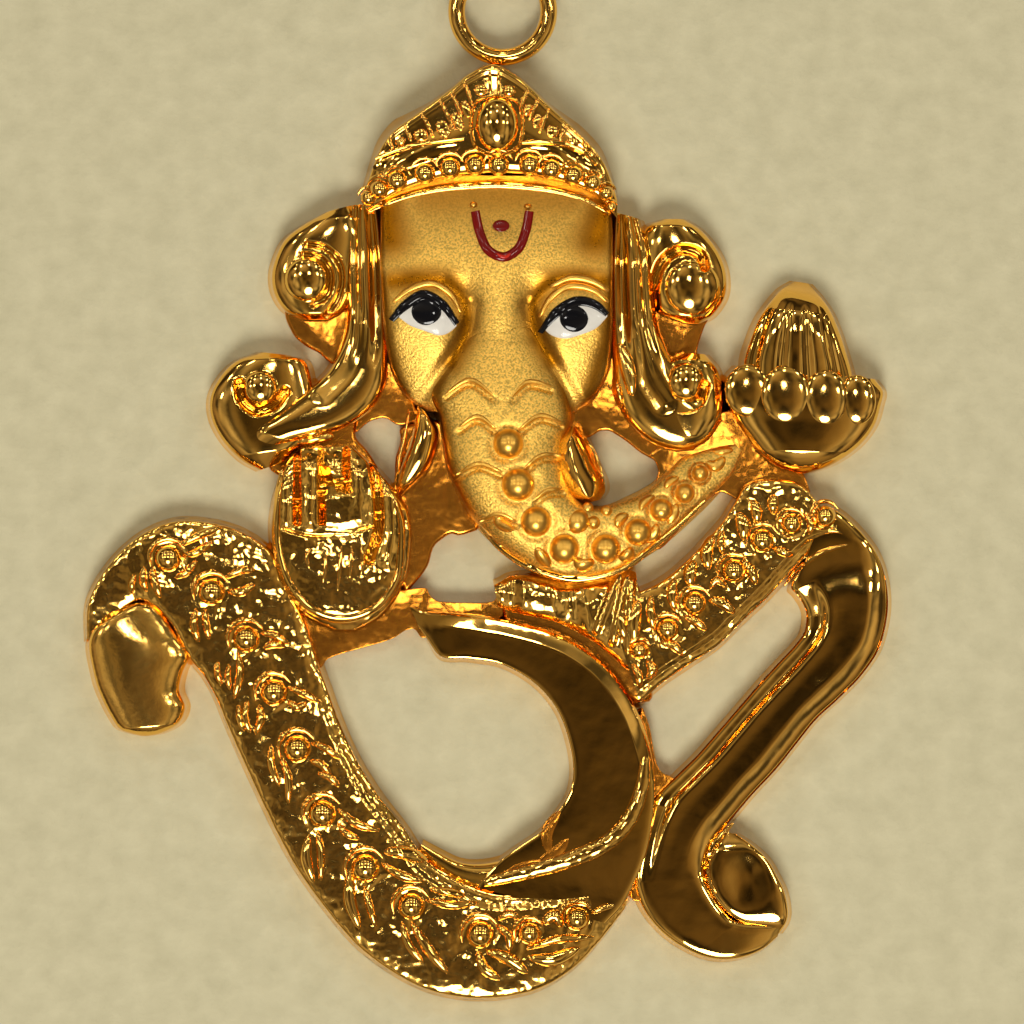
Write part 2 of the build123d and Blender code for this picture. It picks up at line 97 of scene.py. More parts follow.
# the shares of the way round a section: half of its flat back, one wall, the start of the top, the top
back_share, wall_share, top_start, top_share = 0.08, 0.12, 0.2, 0.6


def top_turn(v):
    """How far round the arched top the share v has come, from 0 to half a turn."""
    return np.clip((v - top_start) / top_share, 0, 1) * math.pi


def section(v, wall, square):
    """Goes round a form's section: flat back, drafted wall and an arched top.

    Gives the sideways place as a share of the half width, the share of the foot there, the share of
    the wall's height and the share of the arch's height."""
    turn = top_turn(v)
    edge = np.minimum(v, 1 - v)
    outward = np.where(v < 0.5, -1.0, 1.0)
    climb = np.clip((edge - back_share) / wall_share, 0, 1)
    across_back = np.clip(edge / back_share, 0, 1)
    on_back, below_top = edge < back_share, edge < top_start
    side = np.where(below_top, outward, -np.sign(np.cos(turn)) * np.abs(np.cos(turn)) ** square)
    side = np.where(on_back, outward * across_back, side)
    spread = outward * np.where(on_back, across_back, np.where(below_top, (1 - climb) ** 1.5, 0))
    arch = np.where(below_top, 0, np.sin(turn) ** square)
    return side, spread, climb, arch


def finished(name, bm, material, node="cast_body"):
    """Makes a bmesh a piece of the pendant, with crisp edges where its faces meet sharply."""
    crisp = 50
    bmesh.ops.recalc_face_normals(bm, faces=bm.faces)
    mesh = bpy.data.meshes.new(name)
    bm.to_mesh(mesh)
    bm.free()
    mesh.materials.append(material)
    mesh.shade_smooth()
    mesh.set_sharp_from_angle(angle=math.radians(crisp))
    piece = bpy.data.objects.new(name, mesh)
    bpy.context.scene.collection.objects.link(piece)
    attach(piece, "root")
    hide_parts(node)
    return piece


def add_shell(bm, along, around, where):
    """Adds a closed form: a grid moved to where(u, v), joined at its seam and closed at its ends."""
    made = bmesh.ops.create_grid(bm, x_segments=along, y_segments=around, size=0.5)["verts"]
    shares = np.array([vert.co[:2] for vert in made]) + 0.5
    points = where(np.clip(shares[:, 0], 0, 1), np.clip(shares[:, 1], 0, 1))
    for vert, point in zip(made, points):
        vert.co = point
    rim = {edge for vert in made for edge in vert.link_edges if edge.is_boundary}
    bmesh.ops.remove_doubles(bm, verts=list({v for e in rim for v in e.verts}), dist=0.001 * mm)
    bmesh.ops.holes_fill(bm, edges=[e for e in bm.edges if e.is_boundary])


def band(name, edges, rises, material, along=200, around=60, wall=0.6, square=0.7, relief=None,
         feet=(0.2, 0.2)):
    """A cast form between its two edges, with a foot, a drafted wall and a rounded top.

    relief(x, y, u, side) adds to the height of the top, and feet is how far the foot stands out, in mm
    along the form."""
    table = pairs(edges)
    widest = np.linalg.norm(table[:, 2:] - table[:, :2], axis=1).max() / 2
    rises = np.array(rises) / 100 * size.z

    def where(u, v):
        line = flow(table, u)
        centre = (line[:, :2] + line[:, 2:]) / 2
        sideways = (line[:, 2:] - line[:, :2]) / 2
        reach = np.linalg.norm(sideways, axis=1)
        direction = sideways / np.maximum(reach, 1e-9)[:, None]
        side, spread, climb, arch = section(v, wall, square)
        foot = np.interp(u, np.linspace(0, 1, len(feet)), feet) * mm
        place = centre + direction * (side * reach + spread * foot)[:, None]
        fullness = np.clip(reach / (0.6 * widest), 0, 1) ** 0.7
        rise = flow(np.column_stack([np.linspace(0, 1, len(rises)), rises]), u)[:, 1]
        height = rise * (wall * climb + (1 - wall) * fullness * arch)
        if relief is not None:
            on_top = np.clip(4 * np.sin(top_turn(v)), 0, 1)
            height = height + relief(place[:, 0], place[:, 1], u, side) * on_top
        return np.column_stack([place, height])

    bm = bmesh.new()
    add_shell(bm, along, around, where)
    return finished(name, bm, material)


def bead_channels(x, y, beads, depth):
    """A round channel about each bead."""
    height = 0
    for across, up, width in beads:
        place = plan([(across, up)])[0]
        share = np.hypot(x - place[0], y - place[1]) / half(width)
        height = height - depth * mm * np.exp(-((share - 1.05) / 0.28) ** 2)
    return height


def tops(*pieces):
    """The upper surface of finished pieces, as a function that gives its height at any places."""
    trees = [BVHTree.FromPolygons([vert.co for vert in piece.data.vertices],
                                  [face.vertices for face in piece.data.polygons]) for piece in pieces]

    down, well_above = Vector((0, 0, -1)), 9 * mm

    def height(places):
        found = []
        for x, y in places:
            hits = [tree.ray_cast(Vector((x, y, well_above)), down)[0] for tree in trees]
            found.append(max([hit.z for hit in hits if hit] or [0]))
        return np.array(found)

    return height


def add_leaf(bm, line, width, height, on, blunt=0.15, along=16, around=12):
    """A raised leaf or lip along a line, pointed at its ends unless blunt, and let into the metal."""
    course = plan(line if len(line) > 2 else [line[0], np.mean(line, axis=0), line[1]])

    def where(u, v):
        ahead = flow(course, np.clip(u + 0.03, 0, 1)) - flow(course, np.clip(u - 0.03, 0, 1))
        ahead = ahead / np.linalg.norm(ahead, axis=1)[:, None]
        taper = blunt + (1 - blunt) * np.sin(math.pi * u) ** 0.6
        turn = 2 * math.pi * v
        reach = np.cos(turn) * taper * width / 200 * size.x
        place = flow(course, u) + np.column_stack([-ahead[:, 1], ahead[:, 0]]) * reach[:, None]
        lift = np.sin(turn)
        ground = on(place)
        ground = np.maximum(ground, ground.max() - 0.4 * mm)
        return np.column_stack([place, ground + np.where(lift > 0, height * taper, 0.1) * lift * mm])

    add_shell(bm, along, around, where)


def add_leaves(bm, rows, height, on, **shape):
    """A leaf for each row, which holds the numbers of its spots and then its width."""
    for *line, width in rows:
        add_leaf(bm, spots(*line), width, height, on, **shape)


def add_bead(bm, across, up, width, proud, on):
    """A round bead that is let into the metal and stands proud of it by the given mm."""
    place = plan([(across, up)])
    radius = half(width)
    ball = bmesh.ops.create_icosphere(bm, subdivisions=4, radius=radius)["verts"]
    bmesh.ops.translate(bm, verts=ball, vec=(*place[0], on(place)[0] + proud * mm - radius))


def bead_row(name, beads, proud, on):
    """Polished beads, each given by across, up and width."""
    bm = bmesh.new()
    for bead in beads:
        add_bead(bm, *bead, proud, on)
    finished(name, bm, polished_gold)


def leafwork(name, leaves, leaf_height, beads, reach, turns, width, height, on):
    """Polished leaves, and raised collars that run round the beads through the turns, in degrees."""
    bm = bmesh.new()
    add_leaves(bm, leaves, leaf_height, on)
    for across, up, bead_width in beads:
        out = bead_width * reach
        add_leaf(bm, [(across + out * math.cos(turn), up + out * math.sin(turn) * size.x / size.y)
                      for turn in map(math.radians, turns)], width, height, on)
    finished(name, bm, polished_gold)


def feed(tree, node, inputs):
    """Gives each named input of a node a value, or links it to a socket."""
    for name, value in inputs.items():
        if isinstance(value, bpy.types.NodeSocket):
            tree.links.new(value, node.inputs[name])
        else:
            node.inputs[name].default_value = value


def add_node(tree, kind, inputs=None, **settings):
    """Adds a shader node with its settings and its inputs."""
    node = tree.nodes.new("ShaderNode" + kind)
    for setting, value in settings.items():
        setattr(node, setting, value)
    feed(tree, node, inputs or {})
    return node


def gold_skin():
    """The node group for gold: fine grain over soft waves, warmer and duller in places."""
    group = bpy.data.node_groups.new("gold skin", "ShaderNodeTree")
    for side, names in (("INPUT", ("Colour", "Roughness", "Pit Tone", "Grain Size", "Grain Depth",
                                   "Wave Size", "Wave Depth")),
                        ("OUTPUT", ("Base Color", "Roughness", "Normal"))):
        for name in names:
            kind = {"Colour": "Color", "Base Color": "Color", "Normal": "Vector"}.get(name, "Float")
            group.interface.new_socket(name=name, in_out=side, socket_type="NodeSocket" + kind)
    given = group.nodes.new("NodeGroupInput").outputs
    place = add_node(group, "TexCoord").outputs["Object"]
    below = {}
    for layer in ("Wave", "Grain"):
        scale = add_node(group, "Math", {0: 1.0, 1: given[layer + " Size"]}, operation="DIVIDE")
        noise = add_node(group, "TexNoise", {"Detail": 2.0, "Vector": place,
                                             "Scale": scale.outputs["Value"]}).outputs["Fac"]
        bump = add_node(group, "Bump", {"Distance": given[layer + " Depth"], "Height": noise, **below})
        below = {"Normal": bump.outputs["Normal"]}
    tone = add_node(group, "Mix", {"A": given["Colour"], "B": (1.0, 0.93, 0.8, 1), "Factor": noise},
                    data_type="RGBA", blend_type="MULTIPLY")
    pits = add_node(group, "MapRange", {"Value": noise, "From Min": 0.38, "From Max": 0.58,
                                        "To Min": given["Pit Tone"]})
    pitted = add_node(group, "Mix", {"A": tone.outputs["Result"], "B": pits.outputs["Result"],
                                     "Factor": 1.0}, data_type="RGBA", blend_type="MULTIPLY")
    spread = add_node(group, "MapRange", {"Value": noise, "To Min": 0.8, "To Max": 1.25})
    dull = add_node(group, "Math", {0: spread.outputs["Result"], 1: given["Roughness"]},
                    operation="MULTIPLY")
    feed(group, group.nodes.new("NodeGroupOutput"),
         {"Base Color": pitted.outputs["Result"], "Roughness": dull.outputs["Value"], **below})
    return group


skin_group = gold_skin()


def new_material(name):
    """A material with its tree of nodes and its shader."""
    material = bpy.data.materials.new(name)
    material.use_nodes = True
    return material, material.node_tree, material.node_tree.nodes["Principled BSDF"]


def gold(name, colour, roughness, grain, waves, pit_tone=1.0):
    """Solid gold: its colour and polish, the size and depth of its grain and waves in mm, and the
    tone of its pits."""
    material, tree, shader = new_material(name)
    skin = add_node(tree, "Group", node_tree=skin_group, name="skin")
    feed(tree, skin, {"Colour": (*colour, 1), "Roughness": roughness, "Pit Tone": pit_tone,
                      "Grain Size": grain[0] * mm, "Grain Depth": grain[1] * mm,
                      "Wave Size": waves[0] * mm, "Wave Depth": waves[1] * mm})
    feed(tree, shader, {"Metallic": 1.0})
    feed(tree, shader, {name: skin.outputs[name] for name in ("Base Color", "Roughness", "Normal")})
    return material


gold_colour = (0.98, 0.59, 0.14)
polished_gold = gold("polished gold", gold_colour, 0.08, (0.5, 0.004), (1.2, 0.012))
cast_gold = gold("cast gold", gold_colour, 0.11, (0.4, 0.004), (1.0, 0.14))

lower_ribbon_edges = [
    (-49.8, -15.3, -47, -13.9), (-49.5, -11.5, -44.8, -12.1), (-47, -8.1, -43.3, -11.5),
    (-43.3, -5.4, -41.4, -12.1), (-39, -4, -39.3, -13.8), (-34.6, -4.1, -37.9, -15.8),
    (-30.3, -5.1, -36.6, -17.5), (-26.9, -7, -35.5, -18.5), (-24.7, -10.1, -34.6, -19.6),
    (-22.7, -13.6, -33.6, -21.1), (-21.2, -17.3, -32.4, -23.4), (-20, -19.9, -30.7, -26.4),
    (-18.4, -23.3, -28.8, -29.6), (-16.4, -26.7, -26.6, -33.2), (-13.7, -30.1, -24, -36.9),
    (-10.5, -33.3, -20.5, -40.7), (-7.7, -36.4, -16, -44.7), (-4.8, -37.9, -12, -47),
    (-1.7, -39.1, -7.7, -48.7), (1.4, -39.7, -2.7, -49.5), (5.1, -39.6, 2, -49.4),
    (9.1, -39.2, 6.6, -48.5), (12.8, -38.8, 11, -46.3), (15.3, -39.1, 14, -43.8),
    (17.2, -40.1, 16.8, -41),
]
ribbon_beads = [
    (-39.7, -7.5, 3.4), (-34.3, -10.7, 3.4), (-30, -15.2, 3.4), (-26.6, -20.3, 3.4),
    (-23.7, -25.7, 3.4), (-20.6, -31.9, 3.5), (-15.3, -37.1, 3.6), (-9.6, -40.7, 3.4),
    (-1.1, -43.4, 3.5), (5, -43.3, 2.7), (10.9, -41.9, 3),
]


def ribbon_relief(x, y, u, side):
    """The channels round the beads and the smooth bevel along the inner edge."""
    return bead_channels(x, y, ribbon_beads, 0.07) - (
        0.12 * mm * np.clip((-side - 0.72) / 0.1, 0, 1) * np.clip((u - 0.4) * 8, 0, 1))


lower_ribbon = band("lower_ribbon", lower_ribbon_edges, [36, 42, 44, 44, 44, 44, 44, 44, 42, 34],
                    cast_gold, along=460, around=120, wall=0.78, square=0.42, relief=ribbon_relief)
ribbon_top = tops(lower_ribbon)
ribbon_leaves = [
    # the leaves that run down on the outer side of each bead
    (-41.6, -8.3, -41.4, -9.6, -40.6, -11.3, 1.1), (-42.6, -8.3, -42.8, -9.4, -42.4, -10.7, 1),
    (-43.8, -9, -44.2, -10, -44.1, -10.9, 0.9), (-35.1, -12.3, -35, -13.6, -34.6, -15.3, 1),
    (-36.2, -12.3, -36.5, -13.8, -35.9, -15.5, 1.1), (-31, -16.5, -30.8, -18.4, -31.5, -20.9, 1.1),
    (-32.1, -17.6, -32.3, -18.8, -32, -20.1, 0.9), (-33.5, -17.3, -33.6, -18.4, -33.1, -19.6, 0.9),
    (-28.4, -21.5, -28.2, -22.8, -28.9, -24.3, 1.1), (-29.8, -21.1, -30.2, -22.6, -29.5, -24.2, 1.1),
    (-30.9, -21.5, -30.9, -22.6, -30.3, -24, 0.9), (-25.7, -26.5, -24.9, -28.2, -24.8, -30.9, 1.1),
    (-26.9, -25.3, -26.9, -27.2, -25.9, -29.3, 1), (-21.2, -33.4, -20.8, -35.6, -20.8, -38.3, 1.1),
    (-22.3, -33.9, -22.6, -36, -21.7, -38.5, 1.5), (-15.4, -38.8, -14.8, -40.6, -14, -42.7, 1.1),
    (-17.1, -37.2, -17.2, -40.1, -16, -42.9, 1.6), (-9.6, -42.2, -7.8, -44.5, -5.1, -47.1, 1.4),
    (-10.8, -42.2, -10.1, -44.1, -8.1, -46.2, 1.1), (-0.4, -45, 2.1, -45.6, 4.8, -47.1, 1.6),
    (-1.4, -45, -0.6, -46.6, 1.4, -47.7, 1.4),
    # the leaves that run on at the inner side of each bead
    (-38.3, -6.3, -36.1, -5.4, -32.9, -4.4, 1.1), (-37.9, -7.3, -36.1, -6.9, -34.1, -5.8, 1),
    (-38.8, -9.4, -37.4, -8.8, -36.1, -7.7, 1), (-32.6, -9.4, -30.9, -8.7, -28.9, -8.6, 1),
    (-32.3, -10.7, -30.7, -10.7, -28.9, -10, 1.2), (-28.2, -14.6, -26.7, -14.8, -24.7, -15.7, 1),
    (-27.9, -16.1, -26.7, -15.7, -25.2, -15.9, 1), (-24.8, -19.8, -23.2, -20.3, -20.7, -21.3, 1),
    (-24.9, -21.1, -23.7, -21.7, -22.5, -21.3, 1), (-22, -25.1, -20.5, -25.5, -18.5, -26.6, 1),
    (-22.2, -26.8, -20.7, -27.2, -19.5, -28.2, 1), (-21.2, -28, -19.7, -28.4, -18.5, -29.3, 1),
    (-18.7, -31.4, -16.5, -32.8, -13.5, -33.5, 1.1), (-18.7, -32.8, -17.7, -33.7, -16, -34.3, 1),
    (-13.3, -36.6, -10.8, -37.8, -8.1, -38.3, 1.2), (-13, -35.5, -10.5, -35.6, -7.6, -36.4, 1.7),
    (-7.8, -40.1, -4.6, -40.6, -1.4, -40.4, 1.1), (-7.3, -39.1, -5.3, -39.3, -2.9, -39.7, 1.1),
    (0.9, -42.5, 2.4, -43.5, 2.6, -45, 1.2), (1.1, -42, 2.6, -41.4, 3.8, -42, 1),
    (4.6, -44.8, 8.3, -43.9, 13, -43.7, 1.1), (4.8, -45.6, 7.8, -45.8, 11.3, -44.7, 1.7),
    (6.6, -42.4, 8.1, -41.6, 9.1, -42.7, 1.6), (12.7, -41.4, 14.5, -40.8, 16.8, -40.6, 1),
]
bead_row("ribbon_beads", ribbon_beads, 0.5, ribbon_top)
leafwork("ribbon_leaves", ribbon_leaves, 0.24, ribbon_beads, 0.7, range(205, 0, -35), 0.7, 0.14,
         ribbon_top)


# The folded end of the lower ribbon: a smooth polished lobe that turns down over the ribbon's start.
# It is the same yellow gold, cast with the ribbon, and a little softer in its polish.
ribbon_end_edges = [
    (-48.3, -13.6, -46.8, -12.5), (-49.3, -14.8, -42.1, -11.7), (-49.5, -16.3, -38.8, -14.6),
    (-49.1, -18, -37.1, -16.8), (-48.6, -19.6, -37.9, -18.4), (-47.9, -21, -38.3, -20.1),
    (-47, -22.4, -37.6, -21.7), (-45.9, -23.7, -38.3, -23.2), (-44.2, -24.3, -40.8, -24.3),
    (-43.1, -24.5, -42.1, -24.5),
]


def dome(x, y, centre, width, length, height, soft=False):
    """An oval swelling, or a hollow where the height is negative, in mm; soft fades out at its edge."""
    place = plan([centre])[0]
    share = np.hypot((x - place[0]) / width, (y - place[1]) / length) * 200 / size.x
    share = np.clip(share, 0, 1)
    return height * mm * (0.5 + 0.5 * np.cos(math.pi * share) if soft else np.sqrt(1 - share ** 2))


def end_relief(x, y, u, side):
    """The lobe is softly domed, and dips in a dark crease where it leaves the ribbon."""
    height = dome(x, y, (-43.3, -19.2), 11.9, 14.9, 0.05, soft=True)
    return height + dome(x, y, (-42.1, -13), 11.2, 7.4, -0.1, soft=True)


soft_gold = gold("soft gold", gold_colour, 0.14, (0.25, 0.008), (1.6, 0.02))
ribbon_end = band("ribbon_end", ribbon_end_edges, [42, 48, 48, 47, 46, 44], soft_gold, along=160,
                  around=100, wall=0.66, square=0.85, relief=end_relief)


# The polished arc: a plain bright band that sweeps over the open gap and tucks under the ribbon.
# Gold, cast in one with the rest and mirror polished, with a narrow tail along the gap's lower edge
# and a rough raised rim that turns in across its lower end.
arc_edges = [
    (-9.8, -12.1, -8.6, -14.2), (-7.9, -12.6, -7.6, -15.3), (-5.1, -12.7, -6.1, -16.8),
    (-1.1, -13, -2.4, -17.1), (3.2, -13.6, 1.4, -17.6), (7.4, -14.5, 4.3, -18.7),
    (11.3, -15.9, 6.7, -20.2), (14.5, -17.8, 8.6, -22.2), (16.9, -20.1, 9.8, -24.7),
    (18.7, -22.7, 10.4, -27.3), (20, -25.9, 10.1, -29.5), (20.5, -29.2, 8.8, -31.4),
    (20.2, -32.6, 6.7, -33.4), (19.4, -35.7, 3.8, -35), (18, -38.5, 1.4, -36.4),
    (16.5, -40.7, -0.4, -37.8), (14.5, -42.4, -1.4, -38.9),
]


def away(x, y, line):
    """How far each place is from a smooth line through the spots, in metres."""
    course = plan(line)
    if len(course) > 2:
        course = flow(course, np.linspace(0, 1, 8 * len(course)))
    nearest = np.full(len(x), 1.0)
    for (x0, y0), (x1, y1) in zip(course[:-1], course[1:]):
        run, climb = x1 - x0, y1 - y0
        t = np.clip(((x - x0) * run + (y - y0) * climb) / (run * run + climb * climb), 0, 1)
        nearest = np.minimum(nearest, np.hypot(x - x0 - t * run, y - y0 - t * climb))
    return nearest


def arc_relief(x, y, u, side):
    """A rolled outer edge whose inner flank slopes down to the flat."""
    inward = away(x, y, np.array(arc_edges)[:, :2]) / mm
    roll = np.clip(inward / 0.12, 0, 1) * np.clip(1.24 - inward / 0.5, 0, 1)
    return 0.2 * mm * roll * np.clip(u * 6, 0, 1) * np.clip((0.7 - u) * 8, 0, 1) * (side < 0)


mirror_gold = gold("mirror gold", gold_colour, 0.05, (0.4, 0.002), (1.8, 0.03))
arc = band("arc", arc_edges, [36, 40, 41, 41, 41, 41, 41, 41, 40.5, 38], mirror_gold, along=300,
           around=120, wall=0.9, square=0.42, relief=arc_relief)
arc_tail_edges = [
    (13.8, -35.5, 8.8, -32.1), (10.1, -37.6, 6.3, -34), (5.7, -39.1, 3.5, -35.7),
    (1.1, -39.6, 0.1, -36.6), (-3.4, -38.7, -3.4, -36.6), (-6.6, -37, -6.3, -35.6),
    (-8.6, -35.5, -8.3, -34.8),
]
arc_tail = band("arc_tail", arc_tail_edges, [34, 38, 35, 30, 25], polished_gold, along=100, around=44)


def leaf_piece(name, material, rows, height, on, **shape):
    """A piece that is made of leaves alone."""
    bm = bmesh.new()
    add_leaves(bm, rows, height, on, **shape)
    finished(name, bm, material)


leaf_piece("arc_rim", cast_gold, [(19.4, -26.5, 18.9, -29.5, 17.4, -32.4, 14.5, -34.7, 10.3, -36.2,
                                   5.1, -37.4, -0.6, -38.5, 2.1)], 0.18, tops(arc, arc_tail), blunt=0.5,
           along=90)


# The right band: it runs up from the arc to the bowl, with beads and leaves like the lower ribbon.
# Cast and polished with it.
right_band_edges = [
    (14.5, -11.5, 18.7, -21.3), (18.5, -10.7, 21.5, -19.4), (21.5, -9.6, 24.9, -17.6),
    (24.2, -7.9, 28.2, -15.9), (26.7, -5.9, 31.4, -13.5), (28.9, -4, 34.4, -11.3),
    (30.5, -2.1, 37.4, -8.8), (32.1, -0.4, 40.1, -6.8), (35.5, 0, 42.6, -5.9), (38.6, -0.5, 43.8, -5.8),
    (40.1, -1.6, 44.3, -5.8),
]
band_beads = [
    (41.6, -3.5, 2.7), (37.4, -4.2, 2.6), (33.8, -5.8, 3), (30.3, -8.7, 3), (25.4, -11.8, 3),
    (22.1, -14.3, 2.7), (18.6, -16.3, 2.1),
]


def band_relief(x, y, u, side):
    """The channels round the beads and the smooth bevel along the lower right edge."""
    return bead_channels(x, y, band_beads, 0.07) - 0.12 * mm * np.clip((side - 0.7) / 0.1, 0, 1)


right_band = band("right_band", right_band_edges, [42, 44, 44, 44, 44, 43], cast_gold, along=260,
                  around=120, wall=0.78, square=0.42, relief=band_relief)
band_top = tops(right_band)
band_leaves = [
    (30.8, -3.1, 31.4, -4.2, 31.6, -5.8, 1.9), (32.6, -1.9, 33.1, -3.1, 33.1, -4.2, 1.5),
    (35.4, -1.4, 35.1, -2.3, 35.4, -3.3, 1.5), (27.7, -5.2, 26.9, -6.7, 27.2, -8.6, 1.7),
    (28.9, -4.8, 28.7, -6, 28.9, -7.1, 1), (25.4, -7.7, 24.9, -8.8, 24.9, -10.2, 1.7),
    (23, -9.4, 22.6, -10.7, 23, -12.5, 1.4), (20.1, -11.1, 20, -12.7, 20.5, -14.4, 1.2),
    (18.5, -11.5, 18, -13.4, 18, -15.5, 1.7), (16.3, -11.9, 16.3, -13.6, 16.9, -15.3, 1.5),
    (35.1, -6.5, 36.4, -6.9, 37.6, -7.3, 1.1), (31.3, -7.7, 32.3, -8.6, 33.1, -10, 1.4),
    (29.4, -10.2, 28.2, -9.6, 27.3, -10.4, 1), (27.2, -11.5, 28.7, -11.7, 30.4, -12.7, 1.4),
    (24.1, -13.1, 25.4, -13.4, 26.9, -14.4, 1.1), (21.2, -15.6, 22.5, -15.7, 24, -16.7, 1.1),
    (19.5, -17.3, 20.2, -18, 19.7, -19.2, 1.4), (17.7, -17.6, 18.5, -18.6, 18.7, -19.9, 1.1),
    (39, -3.3, 39.8, -4, 39.6, -5.2, 1.1),
]
bead_row("band_beads", band_beads, 0.42, band_top)
leafwork("band_leaves", band_leaves, 0.22, band_beads, 0.7, range(200, 0, -35), 0.6, 0.12, band_top)


# The polished fold: the band turns over at the right, runs back down to the left and ends in a
# dished curl. Plain mirror polished gold, cast with the rest.
fold_edges = [
    (41.8, -2.4, 38.6, -8.8), (43.9, -3.4, 37.7, -9.6), (46.2, -5.1, 37.4, -10.4),
    (47.9, -6.9, 38.1, -11), (49, -9.2, 39, -12.1), (49.4, -11.8, 39.3, -13.2),
    (49.1, -13.9, 39, -14.6), (48.3, -16.1, 37.9, -15.8), (46.3, -18.5, 36.1, -17.3),
    (43.3, -20.9, 33.6, -19.4), (40.5, -22.9, 30.9, -21.8), (38.2, -25.1, 28.2, -24.2),
    (35.5, -27.7, 25.7, -26.4), (32.6, -30.1, 23.2, -28.3), (30.3, -32.2, 20.7, -30.3),
    (28.2, -34.1, 19.7, -32.4), (26.9, -36.2, 18.7, -35.5), (26.7, -37.9, 18.1, -38.3),
    (27.6, -39.5, 18.9, -40.7), (28.7, -40.8, 20.7, -42.7), (30.2, -42, 24, -44.7),
    (32.1, -42.4, 27.8, -45.8), (34, -42.5, 31.1, -45.7), (35.5, -42.5, 34, -44.8),
    (36.4, -42.2, 35.7, -43.7),
]


def swell(x, y, line, width, height):
    """A soft raised stretch along a line, or a sunk one where the height is negative, in mm."""
    share = np.clip(away(x, y, line) / half(width), 0, 1)
    return height * mm * (0.5 + 0.5 * np.cos(math.pi * share))


def fold_relief(x, y, u, side):
    """A broad bevel on the outer side, a faint hollow and a lower step on the inner side."""
    run = np.clip((u - 0.08) * 12, 0, 1) * np.clip((0.74 - u) * 8, 0, 1)
    step = 1 / (1 + np.exp(-(side - 0.55) / 0.04))
    inward = away(x, y, np.array(fold_edges)[:, :2]) / mm
    height = run * mm * (-0.26 * np.clip(1 - inward / 0.85, 0, 1) ** 1.3
                         - 0.05 * np.exp(-((side - 0.1) / 0.3) ** 2) - 0.3 * step)
    return height + swell(x, y, spots(38.1, -10.7, 42.6, -8.5, 47.5, -8.3), 7.4, -0.07)


fold = band("fold", fold_edges, [41, 42, 42, 42, 42, 42, 42, 41, 41, 40, 38], mirror_gold, along=400,
            around=120, wall=0.74, square=0.45, relief=fold_relief)
curl_edges = [
    (29.4, -33.7, 30.5, -33.8), (28.2, -34.9, 32.6, -34.9), (27.2, -36.2, 34.5, -36.3),
    (26.8, -37.6, 35.7, -37.9), (27.2, -39, 36.5, -39.2), (28.2, -40.3, 36.9, -40.5),
    (29.5, -41.4, 37, -41.6), (31.1, -42.3, 36.7, -42.5), (32.9, -43, 35.9, -43.4),
]


def curl_relief(x, y, u, side):
    """The curl's lobe is dished behind its raised spiral edge."""
    return dome(x, y, (31.9, -38.3), 7.9, 9.9, -0.14, soft=True)


curl = band("curl", curl_edges, [40, 43, 43, 43, 42, 39, 32], mirror_gold, along=140, around=120,
            wall=0.78, square=0.42, relief=curl_relief)
curl_top = tops(curl, fold)
bm = bmesh.new()
add_leaf(bm, spots(30.3, -32.8, 28.8, -33.9, 27.6, -35.4, 26.9, -37, 27.3, -38.5, 28.2, -39.5), 1, 0.16,
         curl_top, along=60)
add_leaf(bm, spots(36.5, -10.2, 38.3, -8.5, 41.1, -7, 44.3, -6.2), 0.7, 0.16, tops(fold, right_band),
         along=60)
finished("curl_edge", bm, polished_gold)


# The neck: a short saddle between the trunk and the arc, which meets the right band.
# Gold, cast in one with them and polished.
neck_edges = [
    (0.6, -10, 1.1, -12.1), (2.4, -9.3, 3.1, -12.7), (4.6, -9.1, 5.6, -13.1), (7.3, -9.4, 8.3, -13.6),
    (10.1, -9.6, 11, -14.6), (12.5, -9.4, 13.5, -15.8), (14.8, -8.9, 15.5, -17.1),
    (16.8, -8.5, 17.5, -18.2), (18.2, -8.8, 19.5, -17.6),
]


def neck_relief(x, y, u, side):
    """Two upright hollows at the left and three ridges that fan out at the right."""
    height = swell(x, y, spots(2.9, -9.2, 2.9, -12.7), 3.2, -0.2)
    height += swell(x, y, spots(9.8, -9.6, 10.3, -13.8), 5, -0.24)
    for line in (spots(16, -9, 13.3, -14.4), spots(17, -9.2, 15.3, -15.5),
                 spots(17.7, -9.6, 17.2, -16.3)):
        height += swell(x, y, line, 1.4, 0.14)
    return height


neck = band("neck", neck_edges, [42, 45, 46, 45, 44, 44, 44, 43], cast_gold, along=200, around=110,
            square=0.9, relief=neck_relief)


# The ring at the top, which takes a jump ring or a bail: one closed turn of round gold wire.
# It is soldered to the crown's tip and polished.
ring_outside, ring_inside = 13.5, 9.3
ring_lift = 1.0 * mm
wire = (ring_outside - ring_inside) / 200 * size.x
ring_radius = (ring_outside + ring_inside) / 400 * size.x
ring_place = Vector((*plan((1.7, 44.8)), ring_lift))
bm = bmesh.new()
bmesh.ops.create_circle(bm, segments=28, radius=wire / 2)
bmesh.ops.rotate(bm, verts=bm.verts, cent=(0, 0, 0), matrix=Matrix.Rotation(math.pi / 2, 3, "X"))
bmesh.ops.translate(bm, verts=bm.verts, vec=(ring_radius, 0, 0))
bmesh.ops.spin(bm, geom=bm.verts[:] + bm.edges[:], cent=(0, 0, 0), axis=(0, 0, 1), angle=2 * math.pi,
               steps=120, use_merge=True)
bmesh.ops.translate(bm, verts=bm.verts, vec=ring_place)
finished("ring", bm, polished_gold)


